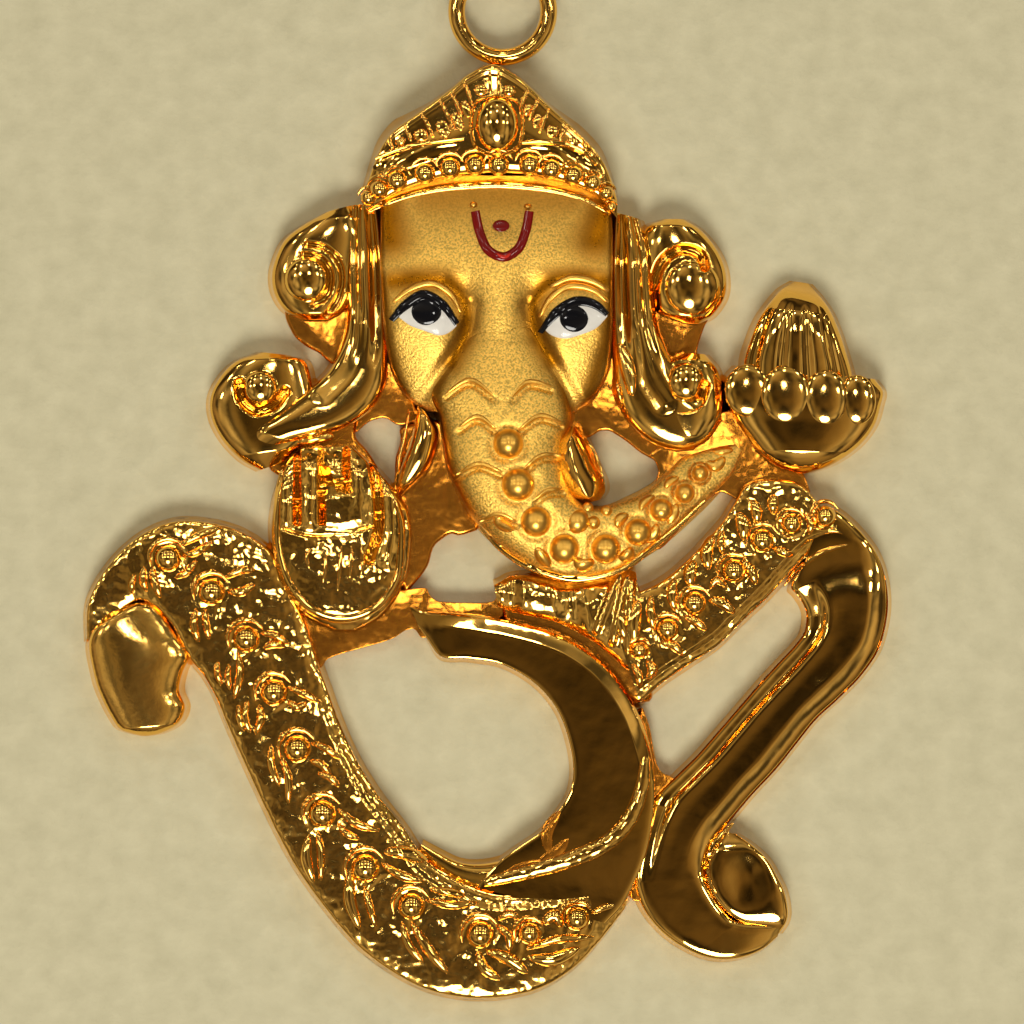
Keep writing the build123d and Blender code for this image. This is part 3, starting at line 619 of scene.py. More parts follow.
# The face: a broad matte elephant face with a raised brow and cheeks round the hollows of the eyes.
# Cast gold, sandblasted to a fine pale grain.
def face_relief(x, y, u, side):
    """The brow and nose bridge, the hollows of the eyes, the eyeballs and the cheeks."""
    height = swell(x, y, spots(1.1, 22, 1.1, 17.2, 1.2, 12.4), 8.7, 0.2)
    height += swell(x, y, spots(-8.1, 22, 1.1, 22.4, 10.8, 22), 9.9, 0.08)
    height += swell(x, y, left_crease, 3, -0.13) + swell(x, y, right_crease, 3, -0.13)
    for corner in (spots(-3.1, 17.2, -3, 14.3), spots(5.8, 17.2, 5.7, 14.3)):
        height += swell(x, y, corner, 7.9, -0.2)
    for ball in (spots(-10.5, 15.1, -6.1, 15.1), spots(9.1, 14.9, 13.5, 15.1)):
        height += swell(x, y, ball, 12.4, 0.28)
    for cheek in (spots(-8.1, 11.3, -7.3, 9.6), spots(10.8, 11.1, 9.8, 9.6)):
        height += swell(x, y, cheek, 8.7, 0.1)
    return height


left_crease = spots(-1.9, 16.6, -2.4, 14.7, -4, 12.5, -6.1, 10.2, -8.4, 7.8)
right_crease = spots(4.8, 16.6, 5.8, 14.3, 7.6, 11.7, 9.7, 8.8, 11.3, 6.5)
satin_gold = gold("satin gold", (0.93, 0.53, 0.1), 0.3, (0.3, 0.003), (1.5, 0.006))

# on the sockets, the forehead's sides, the outer cheeks and the trunk's flanks the metal is smoother,
# and there its colour is painted a deeper orange brown as painted shade
blasted_colour = (0.97, 0.63, 0.14)
face_gold = gold("face gold", blasted_colour, 0.46, (0.09, 0.03), (1.5, 0.006), 0.56)
tree = face_gold.node_tree
smoothed_and_shaded = add_node(tree, "Attribute", attribute_name="smoothed_and_shaded").outputs["Fac"]
# the second colour, a deep orange brown blended in by the attribute, is painted shade
tone = add_node(tree, "Mix", {"A": (*blasted_colour, 1), "B": (0.38, 0.14, 0.003, 1),
                              "Factor": smoothed_and_shaded}, data_type="RGBA")
feed(tree, tree.nodes["skin"], {"Colour": tone.outputs["Result"]})
for socket, blasted, smooth in (("Roughness", 0.46, 0.28), ("Grain Depth", 0.03 * mm, 0.004 * mm),
                                ("Pit Tone", 0.56, 0.9)):
    fade = add_node(tree, "MapRange", {"To Min": blasted, "To Max": smooth, "Value": smoothed_and_shaded})
    feed(tree, tree.nodes["skin"], {socket: fade.outputs["Result"]})
face_edges = [
    (-12.5, 29.1, 14.5, 28.9), (-13.3, 26.2, 15.1, 26), (-13.4, 23.3, 15.3, 23.3),
    (-13.4, 20.1, 15.3, 20.1), (-13.2, 16.3, 15.3, 16.3), (-12.7, 12.9, 15.1, 12.9),
    (-11.7, 10, 14.5, 10), (-10.1, 8, 12.8, 7.8), (-7.6, 6.5, 10.5, 6.5),
]
face = band("face", face_edges, [46, 57, 66, 68, 67, 62, 54], face_gold, along=280, around=280,
            wall=0.75, square=0.6, relief=face_relief)


def mark_smoothed_and_shaded(piece):
    """Marks the sockets, the forehead's sides, the outer cheeks and the trunk's flanks as smoother and
    painted darker, a painted shade.
    """
    places = np.array([vert.co for vert in piece.data.vertices])
    most = np.zeros(len(places))
    for line, width, share in smoothed_and_shaded_lines:
        most = np.maximum(most, swell(places[:, 0], places[:, 1], line, width, share) / mm)
    piece.data.attributes.new("smoothed_and_shaded", "FLOAT", "POINT").data.foreach_set("value", most)


# each line holds its spots, its width and how far it is smoother and painted darker as shade
smoothed_and_shaded_lines = [
    (spots(-12, 18.9, -8.1, 19.1, -4.8, 18.7, -3.1, 16.8, -2.9, 14, -4.6, 11.1), 6.5, 1),
    (spots(14.3, 18.9, 10.3, 19.2, 7.1, 18.6, 5.5, 16.6, 5.8, 14, 7.8, 11.3), 6.5, 1),
    (spots(-13, 27.2, -12.3, 23), 11.2, 1), (spots(15, 27.2, 13.3, 23), 12.9, 1),
    (spots(-7.3, 27.2, 10.1, 27.2), 12.4, 0.75),
    (spots(-13, 19.1, -12.7, 13.4, -10.8, 8.2), 4.2, 0.9),
    (spots(15, 19.1, 14.5, 13.4, 12.3, 8), 5.2, 0.9),
    (spots(-4.8, 10.9, -6.5, 8, -5.6, 3.8, -4.8, 0.9, -2.9, -2.7), 3.5, 0.8),
    (spots(7.6, 10.9, 9.6, 7.8, 9.8, 4.2, 9.4, 0.6), 3.2, 0.7),
]
# the face gets its smoother places and its painted shade
mark_smoothed_and_shaded(face)


# The trunk: it runs down from between the eyes, turns and lifts to the treat. It is cast with the
# face and matte like it, with a row of beads, small leaves and wrinkles brought to a satin shine.
trunk_edges = [
    (-0.6, 21.2, 3.1, 21.2), (-1.1, 18.2, 3.8, 17.2), (-1.9, 14.7, 5.5, 14.7), (-3.7, 12.5, 6.9, 12.4),
    (-5.6, 10.3, 8.3, 10.1), (-7.1, 8.1, 9.7, 7.8), (-6.1, 5.9, 10.3, 5.7), (-5.6, 3.5, 9.2, 3.8),
    (-5.1, 1.3, 9.2, 1.9), (-3.8, -1.1, 9.7, -0.4), (-2, -3.5, 10.9, -1.9), (0.5, -5.7, 12.5, -2.6),
    (3.4, -7.4, 14.1, -2.6), (6.3, -8.6, 15.5, -2.3), (9.8, -9.4, 16.8, -1.9), (13.8, -9.1, 18.2, -1.5),
    (17, -8.3, 20, -0.7), (19.6, -7, 21.3, 0.2), (22, -5.7, 22.6, 1.1), (24.3, -4.1, 23.8, 2),
    (26.7, -2.3, 25.2, 2.4), (28.5, -0.8, 26.8, 2.8), (30.4, 0.9, 28.9, 3.2), (31.4, 2.7, 30.5, 3.4),
]
trunk_beads = [
    (2.4, 3.4, 3.8), (3.6, -0.5, 4.1), (5.8, -4, 3.8), (9.3, -6.6, 3.7), (14.4, -6.6, 3.7),
    (18.4, -5, 3.4), (21.3, -2.9, 2.9), (24.2, -1.3, 2.5), (26.1, 0.6, 2.1),
]


def trunk_relief(x, y, u, side):
    """The channels round the beads and the creases below the wrinkles."""
    height = bead_channels(x, y, trunk_beads, 0.12)
    for line in wrinkles:
        height += swell(x, y, line - (0, 0.5), 1, -0.16)
    return height


# each wrinkle is a short arched lip over a crease, left and right of the beads
wrinkles = [
    spots(-5.3, 8.2, -2.4, 9.5, 0.6, 8), spots(2.9, 7.9, 4.8, 9.3, 7.7, 8.9),
    spots(-3.7, 5, -1.5, 6, 0.9, 4.8), spots(3.6, 4.7, 6.5, 6.1, 8.9, 5.5),
    spots(-4, 0.5, -1.2, 1.5, 1.6, 0.7), spots(4.3, 1, 6.6, 2.3, 8.9, 2.3),
    spots(-1.1, -4, 1.2, -3.3, 3.4, -4), spots(5.8, -1.8, 7.1, -1.1, 9.1, -0.9),
]
trunk = band("trunk", trunk_edges, [50, 62, 72.5, 78, 81, 83, 81, 73, 66, 60, 54, 48, 44], face_gold,
             along=420, around=120, wall=0.62, square=0.85, relief=trunk_relief)
# it leaves the face in a soft fillet
places = np.array([vert.co for vert in trunk.data.vertices])
ground = tops(face)(places[:, :2])
apart = np.abs(places[:, 2] - ground) / (0.22 * mm)
places[:, 2] = np.where(apart < 1, np.maximum(places[:, 2], ground) + 0.055 * mm * (1 - apart) ** 2,
                        places[:, 2])
trunk.data.vertices.foreach_set("co", places.ravel())
trunk.data.update()
# the trunk's flanks are made smoother and painted darker the same way, as painted shade
mark_smoothed_and_shaded(trunk)
trunk_top = tops(trunk, face)
bm = bmesh.new()
for line in wrinkles:
    add_leaf(bm, line, 0.6, 0.06, trunk_top, blunt=0.3, along=24)
trunk_leaves = [
    (0.6, -3.5, 1.4, -4.2, 3.1, -4.8, 1.4), (5.8, -6.5, 6.5, -7.3, 7.6, -8.3, 1.6),
    (10.5, -7.5, 11.7, -8.2, 13, -7.7, 1.7), (16, -7.5, 17.1, -7.2, 17.7, -6.5, 1.6),
    (19.5, -6, 20.4, -5.3, 20.7, -4.2, 1.4), (22.2, -4.2, 22.8, -3.4, 23.2, -2.3, 1.2),
    (15.9, -4.6, 16.1, -3.9, 17.2, -3.3, 1.4), (18.7, -2.9, 19.2, -2.1, 20.5, -1.6, 1.2),
    (21.7, -0.8, 22.3, -0.2, 23.5, 0.2, 1.1), (26.9, 1.7, 27.9, 1.3, 29.2, 2.1, 1.5),
    (27.7, 2.7, 28.9, 2.8, 30.2, 2.8, 1.1),
]
add_leaves(bm, trunk_leaves, 0.16, trunk_top)
finished("trunk_wrinkles", bm, satin_gold)
bm = bmesh.new()
for bead in trunk_beads:
    add_bead(bm, *bead, 0.42 + bead[2] * 0.03, trunk_top)
for bead in ((10.9, -4, 3.4), (12.9, -4.1, 1.7), (12.2, -2.7, 1.5), (14.5, -3, 1.5)):
    add_bead(bm, *bead, 0.2, trunk_top)
finished("trunk_beads", bm, satin_gold)
leaf_piece("trunk_edge", polished_gold, [(-1.1, -4.4, 1, -6.3, 3.8, -7.9, 6.9, -8.9, 10.1, -9.5,
                                          13.8, -9.2, 17, -8.3, 20, -6.6, 23.2, -4.6, 26.7, -2, 0.9)],
           0.12, trunk_top, blunt=0.5, along=80)


# The tusks: two short gold points, one each side of the trunk, with a thin bright lip down the side
# of each. Cast with the head and polished.
left_tusk_edges = [
    (-8.8, 7.1, -7.6, 6.3), (-9.3, 5.2, -6.3, 4.8), (-9.9, 3.3, -6.6, 2.7), (-10.8, 1.4, -7.6, 0.9),
    (-11.3, -0.2, -9.2, -0.4), (-11.5, -1.7, -11, -1.7),
]
left_tusk = band("left_tusk", left_tusk_edges, [60, 66, 66, 60, 50], polished_gold, along=70,
                 around=60, square=0.8)
right_tusk_edges = [
    (9.3, 5.1, 11.4, 5), (7.6, 3.2, 12.5, 3.2), (7.3, 1.3, 13.4, 1.5), (8.1, -0.3, 14.3, 0),
    (9.6, -1.7, 14.4, -1.1), (11.8, -2.3, 13.8, -1.9),
]
right_tusk = band("right_tusk", right_tusk_edges, [70, 76, 76, 72, 66], polished_gold, along=70,
                  around=60, square=1.5)
bm = bmesh.new()
add_leaf(bm, spots(-9.8, 6.7, -10.4, 4.2, -11.2, 1.3, -11.7, -1.6), 0.5, 0.12, tops(left_tusk),
         along=40)
add_leaf(bm, spots(10.9, 4.8, 12.7, 3, 13.7, 1.3, 14.3, -0.4), 0.5, 0.1, tops(right_tusk), along=40)
finished("tusk_edges", bm, polished_gold)


# The crown: a pointed cap with a fan of panels over a row of beads, each bead under a small arch.
# Polished gold, cast with the head.
crown_edges = [
    (-15.5, 27, -15.3, 25.7), (-14.5, 29.5, -13.8, 26.3), (-13.4, 31.6, -12, 27.1),
    (-12, 33.1, -10.3, 27.7), (-9.6, 34.5, -7.9, 28.3), (-7.1, 35.9, -5.5, 28.8),
    (-4.6, 37.3, -3, 29.1), (-2.4, 38.7, -0.9, 29.2), (0.5, 39.6, 1, 29.3), (3.1, 38.7, 3, 29.2),
    (5.3, 37.3, 5.1, 29.1), (7.4, 35.7, 7.3, 28.7), (9.7, 34.1, 9.6, 28.3), (11.9, 32.5, 11.8, 27.7),
    (13.8, 30.8, 13.8, 26.8), (15.1, 28.7, 15.1, 25.6), (15.9, 26.6, 15.8, 24.9),
]


def crown_relief(x, y, u, side):
    """A sunk fan inside a raised border, for the panels to stand in."""
    fan = 1 / (1 + np.exp((side + 0.1) / 0.03)) / (1 + np.exp(-(side + 0.86) / 0.03))
    return -0.16 * mm * fan * np.clip((u - 0.1) * 12, 0, 1) * np.clip((0.9 - u) * 12, 0, 1)


crown = band("crown", crown_edges, [54, 62, 66, 68, 69, 70, 69, 68, 66, 62, 54], polished_gold,
             along=300, around=160, wall=0.8, square=0.45, relief=crown_relief,
             feet=(0.5, 0.5, 0.45, 0.2, 0.15, 0.15, 0.15, 0.2, 0.45, 0.5, 0.3))
crown_top = tops(crown)
bm = bmesh.new()
crown_ribs = [
    (-3.1, 38.1, -2, 35.6), (-4.6, 37.1, -3.4, 34.6), (-6.1, 36.3, -4.2, 33.3), (-8.3, 35, -6.9, 32.7),
    (-10.4, 33.8, -9.6, 32.2), (-12.3, 32.6, -11.9, 31.5), (4.8, 37.3, 3.8, 35.2), (6.1, 36.4, 5, 34.3),
    (7.3, 35.3, 6.3, 33.1), (9.7, 33.9, 8.8, 32.3), (11.7, 32.4, 12, 31.3), (0.1, 39, 0.2, 36.8),
    (1.2, 39, 1.2, 36.8),
]
for rib in crown_ribs:
    add_leaf(bm, spots(*rib), 0.5, 0.13, crown_top, blunt=0.5)
for line in (spots(-14, 30.6, -12, 31.3, -7.7, 32.1, -3.1, 32.5),
             spots(4.1, 32.1, 7.3, 32.2, 11.3, 31.5, 13.4, 30.1)):
    add_leaf(bm, line, 0.6, 0.12, crown_top, blunt=0.7, along=30)
finished("crown_ribs", bm, polished_gold)
bm = bmesh.new()
crown_panels = [
    (-1.4, 38.7, -0.9, 36.6, 1.9), (-3.8, 37.5, -2.5, 34.6, 1.5), (-5.3, 36.6, -3.4, 33.3, 1.6),
    (-7.2, 35.6, -5.1, 32.7, 2.1), (-9.4, 34.4, -8.1, 32.3, 2.2), (-11.4, 33.2, -10.8, 31.9, 1.7),
    (2.9, 38.5, 2.4, 36.6, 1.9), (5.5, 36.9, 4.5, 34.7, 1.2), (6.7, 36, 5.7, 33.6, 1.4),
    (8.6, 34.7, 7.6, 32.7, 2), (10.8, 33.3, 10.4, 31.9, 2), (12.8, 31.9, 12.8, 30.8, 1.4),
]
for *panel, width in crown_panels:
    # each panel is flat at its outer end and swells to a small petal at its inner end
    line = spots(*panel)
    add_leaf(bm, [line.mean(axis=0), line[1]], width * 0.8, 0.1, crown_top, blunt=0.4, along=24,
             around=24)
for line in (spots(-14.3, 29.7, -11.3, 30.2, -7.6, 31.1, -3.6, 31.8),
             spots(4.8, 31.5, 8.3, 31, 11.5, 30.1, 14, 28.5)):
    add_leaf(bm, line, 2.4, 0.05, crown_top, blunt=0.2, along=40, around=24)
finished("crown_panels", bm, mirror_gold)
leaf_piece("crown_hem", soft_gold, [(-14.9, 25.6, -13, 26.3, -9.8, 27.2, -6.1, 27.8, -2.4, 28.1,
                                     1.2, 28.2, 4.8, 28, 8.3, 27.6, 11.8, 26.8, 15.1, 25.4, 1.1)], 0.08,
           tops(crown, face), blunt=0.3, along=80)
crown_beads = [
    (-14.9, 26.9, 2), (-13.5, 27.7, 2.4), (-11.3, 28.5, 2.6), (-7.9, 29.2, 2.7), (-4.8, 29.7, 2.7),
    (-1.7, 30, 2.7), (1.2, 30, 2.7), (5, 30, 2.7), (7.7, 29.6, 2.6), (10.4, 29, 2.5), (12.8, 28.3, 2.2),
    (14.5, 27.3, 1.9), (15.1, 26, 1.2),
]
bead_row("crown_beads", crown_beads, 0.36, crown_top)
leafwork("crown_arches", [], 0, crown_beads, 0.68, range(170, 0, -30), 0.5, 0.12, crown_top)


# The oval boss at the middle of the crown: a plain domed gold drop in a thin raised rim, cast with
# the crown and polished.
def add_drop(bm, across, up, width, length, proud, on):
    """A flattened oval drop that stands proud of the metal by the given mm."""
    place = plan([(across, up)])
    ball = bmesh.ops.create_uvsphere(bm, u_segments=48, v_segments=32, radius=1)["verts"]
    bmesh.ops.scale(bm, verts=ball, vec=(half(width), half(length), (proud + 0.1) * mm))
    bmesh.ops.translate(bm, verts=ball, vec=(*place[0], on(place)[0] - 0.1 * mm))


bm = bmesh.new()
add_drop(bm, 1, 33.8, 5.3, 6.8, 0.55, crown_top)
finished("crown_boss", bm, polished_gold)
rim = (1, 36.6, -1.5, 36, -2.2, 33.8, -1.5, 31.6, 1, 30.9, 3.5, 31.6, 4.2, 33.8, 3.5, 36, 1, 36.6, 0.5)
leaf_piece("crown_boss_rim", polished_gold, [rim], 0.2, crown_top, blunt=1, along=72)


# The ears: a fluted stem down each side of the face, with a curl above and a curl below.
# Polished gold, cast with the head.
left_stem_edges = [
    (-17.2, 26.2, -13.8, 26.4), (-17.6, 23, -13.2, 23), (-17.7, 19.1, -12.8, 19.1),
    (-17.6, 15.8, -12.7, 15.3), (-18.2, 12.9, -12.5, 11.9), (-20, 10.3, -12.8, 9.1),
    (-22.5, 8.6, -14.3, 6.9), (-24.7, 7.3, -17.2, 5.2), (-26.9, 6.1, -20.4, 4.3),
    (-28.9, 5, -23.7, 3.7), (-29.7, 3.8, -26.9, 2.9),
]


def flutes(ridges, valley, end, hollow):
    """Ridges and one deep valley, at their places from -1 to 1 across the stem, over a long hollow."""
    ridge_height, ridge_width, valley_depth, valley_width = 0.13, 0.11, 0.16, 0.16

    def relief(x, y, u, side):
        height = sum(ridge_height * np.exp(-((side - ridge) / ridge_width) ** 2) for ridge in ridges)
        fluted = mm * (height - valley_depth * np.exp(-((side - valley) / valley_width) ** 2))
        return fluted * np.clip((end - u) * 4, 0, 1) + swell(x, y, hollow, 3.7, -0.1)
    return relief


left_hollow = spots(-17, 15.3, -17.7, 10.9, -20.7, 8.2)
left_stem = band("left_stem", left_stem_edges, [44, 50, 50, 50, 52, 53, 50], polished_gold, along=200,
                 around=110, relief=flutes((-0.75, -0.35, 0.12, 0.8), 0.45, 0.55, left_hollow))
right_stem_edges = [
    (15.5, 25.6, 18.7, 24.9), (15.1, 22, 20, 21.8), (15, 18.2, 20.4, 18), (15.1, 14.3, 21, 14.8),
    (15.3, 11, 22.2, 12.2), (15.8, 7.8, 23.7, 10.1), (17.5, 5.2, 24.9, 8.6), (20.2, 3.5, 25.9, 8),
    (23.7, 2.8, 26.7, 8), (26.9, 3.7, 27.2, 8.3), (28.9, 5.7, 27.7, 9),
]
right_hollow = spots(19.2, 14.3, 19.7, 9.7, 21.7, 7.3)
right_stem = band("right_stem", right_stem_edges, [44, 50, 50, 50, 50, 46, 40], polished_gold,
                  along=200, around=110,
                  relief=flutes((0.75, 0.35, -0.12, -0.8), -0.45, 0.6, right_hollow))
ear_leaves = ((16.1, 13, 17.1, 10.7, 17.7, 8, 1.9), (15.4, 9.7, 15.8, 8.4, 16.3, 6.9, 1),
              (-23.6, 3.6, -21.5, 4, -19.2, 4.2, 1.5))
leaf_piece("ear_leaves", soft_gold, ear_leaves, 0.26, tops(left_stem, right_stem), along=40, around=20)


def ear_curl(name, edges, rises, centre, ball, *channels, width=1.7, depth=0.5):
    """A domed curl of an ear, with a ball at its heart and spiral channels round it."""
    def relief(x, y, u, side):
        return dome(x, y, centre, ball, ball, 0.3) + sum(swell(x, y, channel, width, -depth)
                                                         for channel in channels)

    band(name, edges, rises, polished_gold, along=140, around=180, square=0.9, relief=relief)


ear_curl("upper_left_curl", [
    (-20.4, 25.5, -17.2, 26.2), (-23.1, 24.3, -15.8, 24.9), (-25.2, 23, -15.3, 23.2),
    (-26.4, 21.2, -15.5, 21.3), (-26.9, 19.3, -16, 19.3), (-26.4, 17.4, -16.8, 17.4),
    (-25.1, 16, -18, 16.1), (-23.2, 15.3, -19.7, 15.3),
], [46, 50, 50, 48, 44], (-22.6, 19.1), 5.2,
         spots(-23, 21.5, -21, 21.2, -19.7, 20.1, -19.5, 18.7, -20.2, 17.4, -21.7, 16.7),
         spots(-22.5, 22.5, -20.2, 22.1, -18.6, 20.9, -18.1, 18.9, -18.9, 17, -20.1, 15.7),
         width=1.1, depth=0.2)
ear_curl("lower_left_curl", [
    (-28.2, 12.2, -24.7, 11.9), (-31.4, 11.3, -22.7, 11.3), (-33.4, 9.7, -22, 9.7),
    (-34.5, 7.8, -21.5, 7.8), (-34.3, 5.7, -20.7, 5.9), (-33.4, 4.2, -21.2, 4.7),
    (-32, 2.8, -22.5, 3.5), (-30.4, 1.7, -24, 2.7), (-28.4, 0.9, -25.4, 1.7),
], [44, 47, 47, 46, 42], (-28.3, 8.8), 4,
         spots(-30.9, 9.2, -30.5, 7.6, -28.9, 6.6, -26.7, 7.1, -25.2, 8.4))
ear_curl("upper_right_curl", [
    (21.5, 24.9, 24.2, 24.9), (19.7, 24.3, 25.9, 24.1), (18.9, 23.2, 27.4, 22.9),
    (18.7, 21.6, 28.7, 21.3), (19, 19.6, 29.4, 19.4), (19.5, 17.6, 29.2, 17.4),
    (20.7, 16.1, 27.9, 15.8), (24, 15, 26.2, 14.9),
], [46, 50, 50, 48, 44], (25.2, 18.3), 6.7,
         spots(20.6, 15.9, 20.5, 18.7, 21.7, 21, 24, 22, 26.2, 21.4, 26.7, 20.3))
ear_curl("lower_right_curl", [
    (24, 12.1, 26.8, 12), (21.7, 11.1, 28.2, 10.7), (20.6, 9.6, 28.8, 9.2), (20.2, 7.6, 29, 7.4),
    (20.7, 5.7, 28.5, 5.7), (22, 4, 26.9, 4), (23.7, 2.8, 25.4, 2.9),
], [46, 50, 50, 46, 40], (24.3, 9.4), 4.5,
         spots(21.5, 10.3, 21.8, 8, 23.7, 6.9, 25.9, 7.4, 26.7, 9))


# The raised hand, palm out, with four fingers, a thumb and fine lines in the palm. Polished gold,
# cast in one with the rest and joined to it by the thin webs.
hand_edges = [
    (-23.5, 2.9, -17, 3.2), (-24.9, 1.7, -14.8, 1.7), (-25.8, -0.2, -12.4, -0.3),
    (-26.6, -2.4, -10.4, -2.2), (-26.9, -4.6, -9.7, -4.6), (-26.7, -6.7, -9.8, -6.9),
    (-25.9, -9.2, -10.4, -9.4), (-24.4, -11.3, -11.8, -11.5), (-22.5, -13, -13.7, -13.1),
    (-19.2, -14.3, -16.5, -14.3),
]


def hand_relief(x, y, u, side):
    """Four rounded fingers split by channels, the thumb, a palm crease and a domed palm."""
    height = sum(swell(x, y, spots(across, 2.8, across, -4.1), 1.1, -0.5) for across in finger_gaps)
    for line in fingers:
        height += swell(x, y, line, 3.2, 0.16)
    height += swell(x, y, palm_crease, 0.6, -0.1)
    height += swell(x, y, thumb_crease, 1.6, -0.4)
    return height + dome(x, y, (-19.7, -9.2), 11.9, 10.4, 0.06, soft=True)


finger_gaps = (-23.7, -20.6, -17.6)
palm_crease = spots(-25.3, -4.7, -22.7, -5.3, -19, -5.4, -14.5, -4.5)
thumb_crease = spots(-14.4, 1.7, -13.7, -1.9, -13.7, -4.8, -14.8, -7.7)
fingers = [spots(-25.3, -0.6, -25.1, -3.9), spots(-22.1, 1.5, -22.1, -3.9),
           spots(-19.1, 1.7, -19.1, -3.9), spots(-16, 0.6, -16, -3.7),
           spots(-12, -1.6, -11.8, -4.8, -12.5, -7.7)]
hand = band("hand", hand_edges, [50, 55, 55, 54, 54, 54, 54, 53], cast_gold, along=260, around=240,
            wall=0.74, square=0.42, relief=hand_relief)
hand_top = tops(hand)
bm = bmesh.new()
palm_border = spots(-25.6, 0.9, -26.2, -1.9, -26.3, -4.8, -25.9, -7.3, -24.8, -9.8, -22.7, -11.9,
                    -19.5, -13.2, -16.3, -13.1, -13.5, -11.9, -11.5, -9.8, -10.8, -6.7, -10.8, -3.9,
                    -11.5, -1.9)
add_leaf(bm, palm_border, 1.1, 0.14, hand_top, blunt=0.4, along=90)
palm_lines = [
    (-18.2, -6.3, -18.4, -8.3, -18.7, -10.6, 0.5), (-17, -6.3, -17, -7.9, -17.2, -9.4, 0.5),
    (-20.2, -6.9, -20.2, -8.3, -20.5, -9.8, 0.5), (-15.8, -6.2, -15.5, -7.7, -15.8, -9, 0.5),
    (-22.2, -6.5, -22.5, -7.5, -22.2, -8.5, 0.5),
]
add_leaves(bm, palm_lines, 0.07, hand_top)
finished("palm_lines", bm, polished_gold)


# The bowl and the treat in it: a scalloped bowl with a ribbed sweet dumpling, at the trunk's tip.
# Mirror polished gold, cast in one with the right band.
treat_edges = [
    (37.9, 19, 39.6, 18.8), (36.2, 18.2, 41.1, 17.5), (34.6, 16.8, 42.3, 16.1),
    (33.3, 15.3, 43.3, 14.3), (32.3, 13.4, 44.2, 12.2), (31.6, 11.7, 44.9, 10.3),
    (31.4, 9.7, 45.3, 8.4),
]


def treat_relief(x, y, u, side):
    """Soft upright ribs that grow deeper toward the bowl."""
    return -0.18 * mm * np.abs(np.sin(side * 2 * math.pi + 0.4)) ** 6 * np.clip((u - 0.25) * 2.5, 0, 1)


treat = band("treat", treat_edges, [14, 44, 56, 60, 60, 58, 56], mirror_gold, along=160, around=200,
             square=0.85, relief=treat_relief)
bowl_edges = [
    (30.7, 10.9, 47.8, 9.6), (29.2, 9.4, 48.8, 8.4), (29.5, 7.6, 48.5, 7.1), (30.5, 5.7, 47.8, 5.3),
    (32, 4, 46.3, 3.6), (33.6, 2.4, 44.2, 2.2), (36.1, 1.1, 41.6, 1.1), (38.2, 0.6, 39.5, 0.6),
]
bowl = band("bowl", bowl_edges, [50, 58, 58, 58, 56, 50], mirror_gold, along=200, around=200,
            square=0.8)
bowl_top = tops(bowl)
bm = bmesh.new()
for petal in ((32, 8.5, 5.7, 6.5), (36.7, 8.1, 6.2, 7.2), (41.6, 7.8, 5.5, 6.9), (45.5, 7.6, 4.7, 6.2)):
    add_drop(bm, *petal, 0.16, bowl_top)
finished("bowl_petals", bm, polished_gold)


# The webs: thin flat plates of the same gold that join the forms low at the back, left from the
# casting.
# Their darker reddish orange is painted shade and painted reflection of the gold round them.
def plate(name, corners, rise):
    """A flat web with soft edges between its corners."""
    bm = bmesh.new()
    outline = plan(np.vstack([corners, corners[:1]]))
    more, less = 0.82, 0.18
    for turn in range(2):
        # each corner is cut to two, so that the outline runs round it softly
        near, far = outline[:-1], outline[1:]
        outline = np.stack([more * near + less * far, less * near + more * far], 1).reshape(-1, 2)
        outline = np.vstack([outline, outline[:1]])
    face = bm.faces.new([bm.verts.new((*place, 0)) for place in outline[:-1]])
    top = bmesh.ops.extrude_face_region(bm, geom=[face])["geom"]
    lift = rise / 100 * size.z
    bmesh.ops.translate(bm, verts=[part for part in top if isinstance(part, bmesh.types.BMVert)],
                        vec=(0, 0, lift))
    edges = [edge for edge in bm.edges if edge.verts[0].co.z + edge.verts[1].co.z > 1.5 * lift]
    bmesh.ops.bevel(bm, geom=edges, offset=0.25 * mm, offset_type="OFFSET", affect="EDGES", segments=4,
                    profile=0.5, material=-1, clamp_overlap=True)
    finished(name, bm, web_painted_shade_gold)
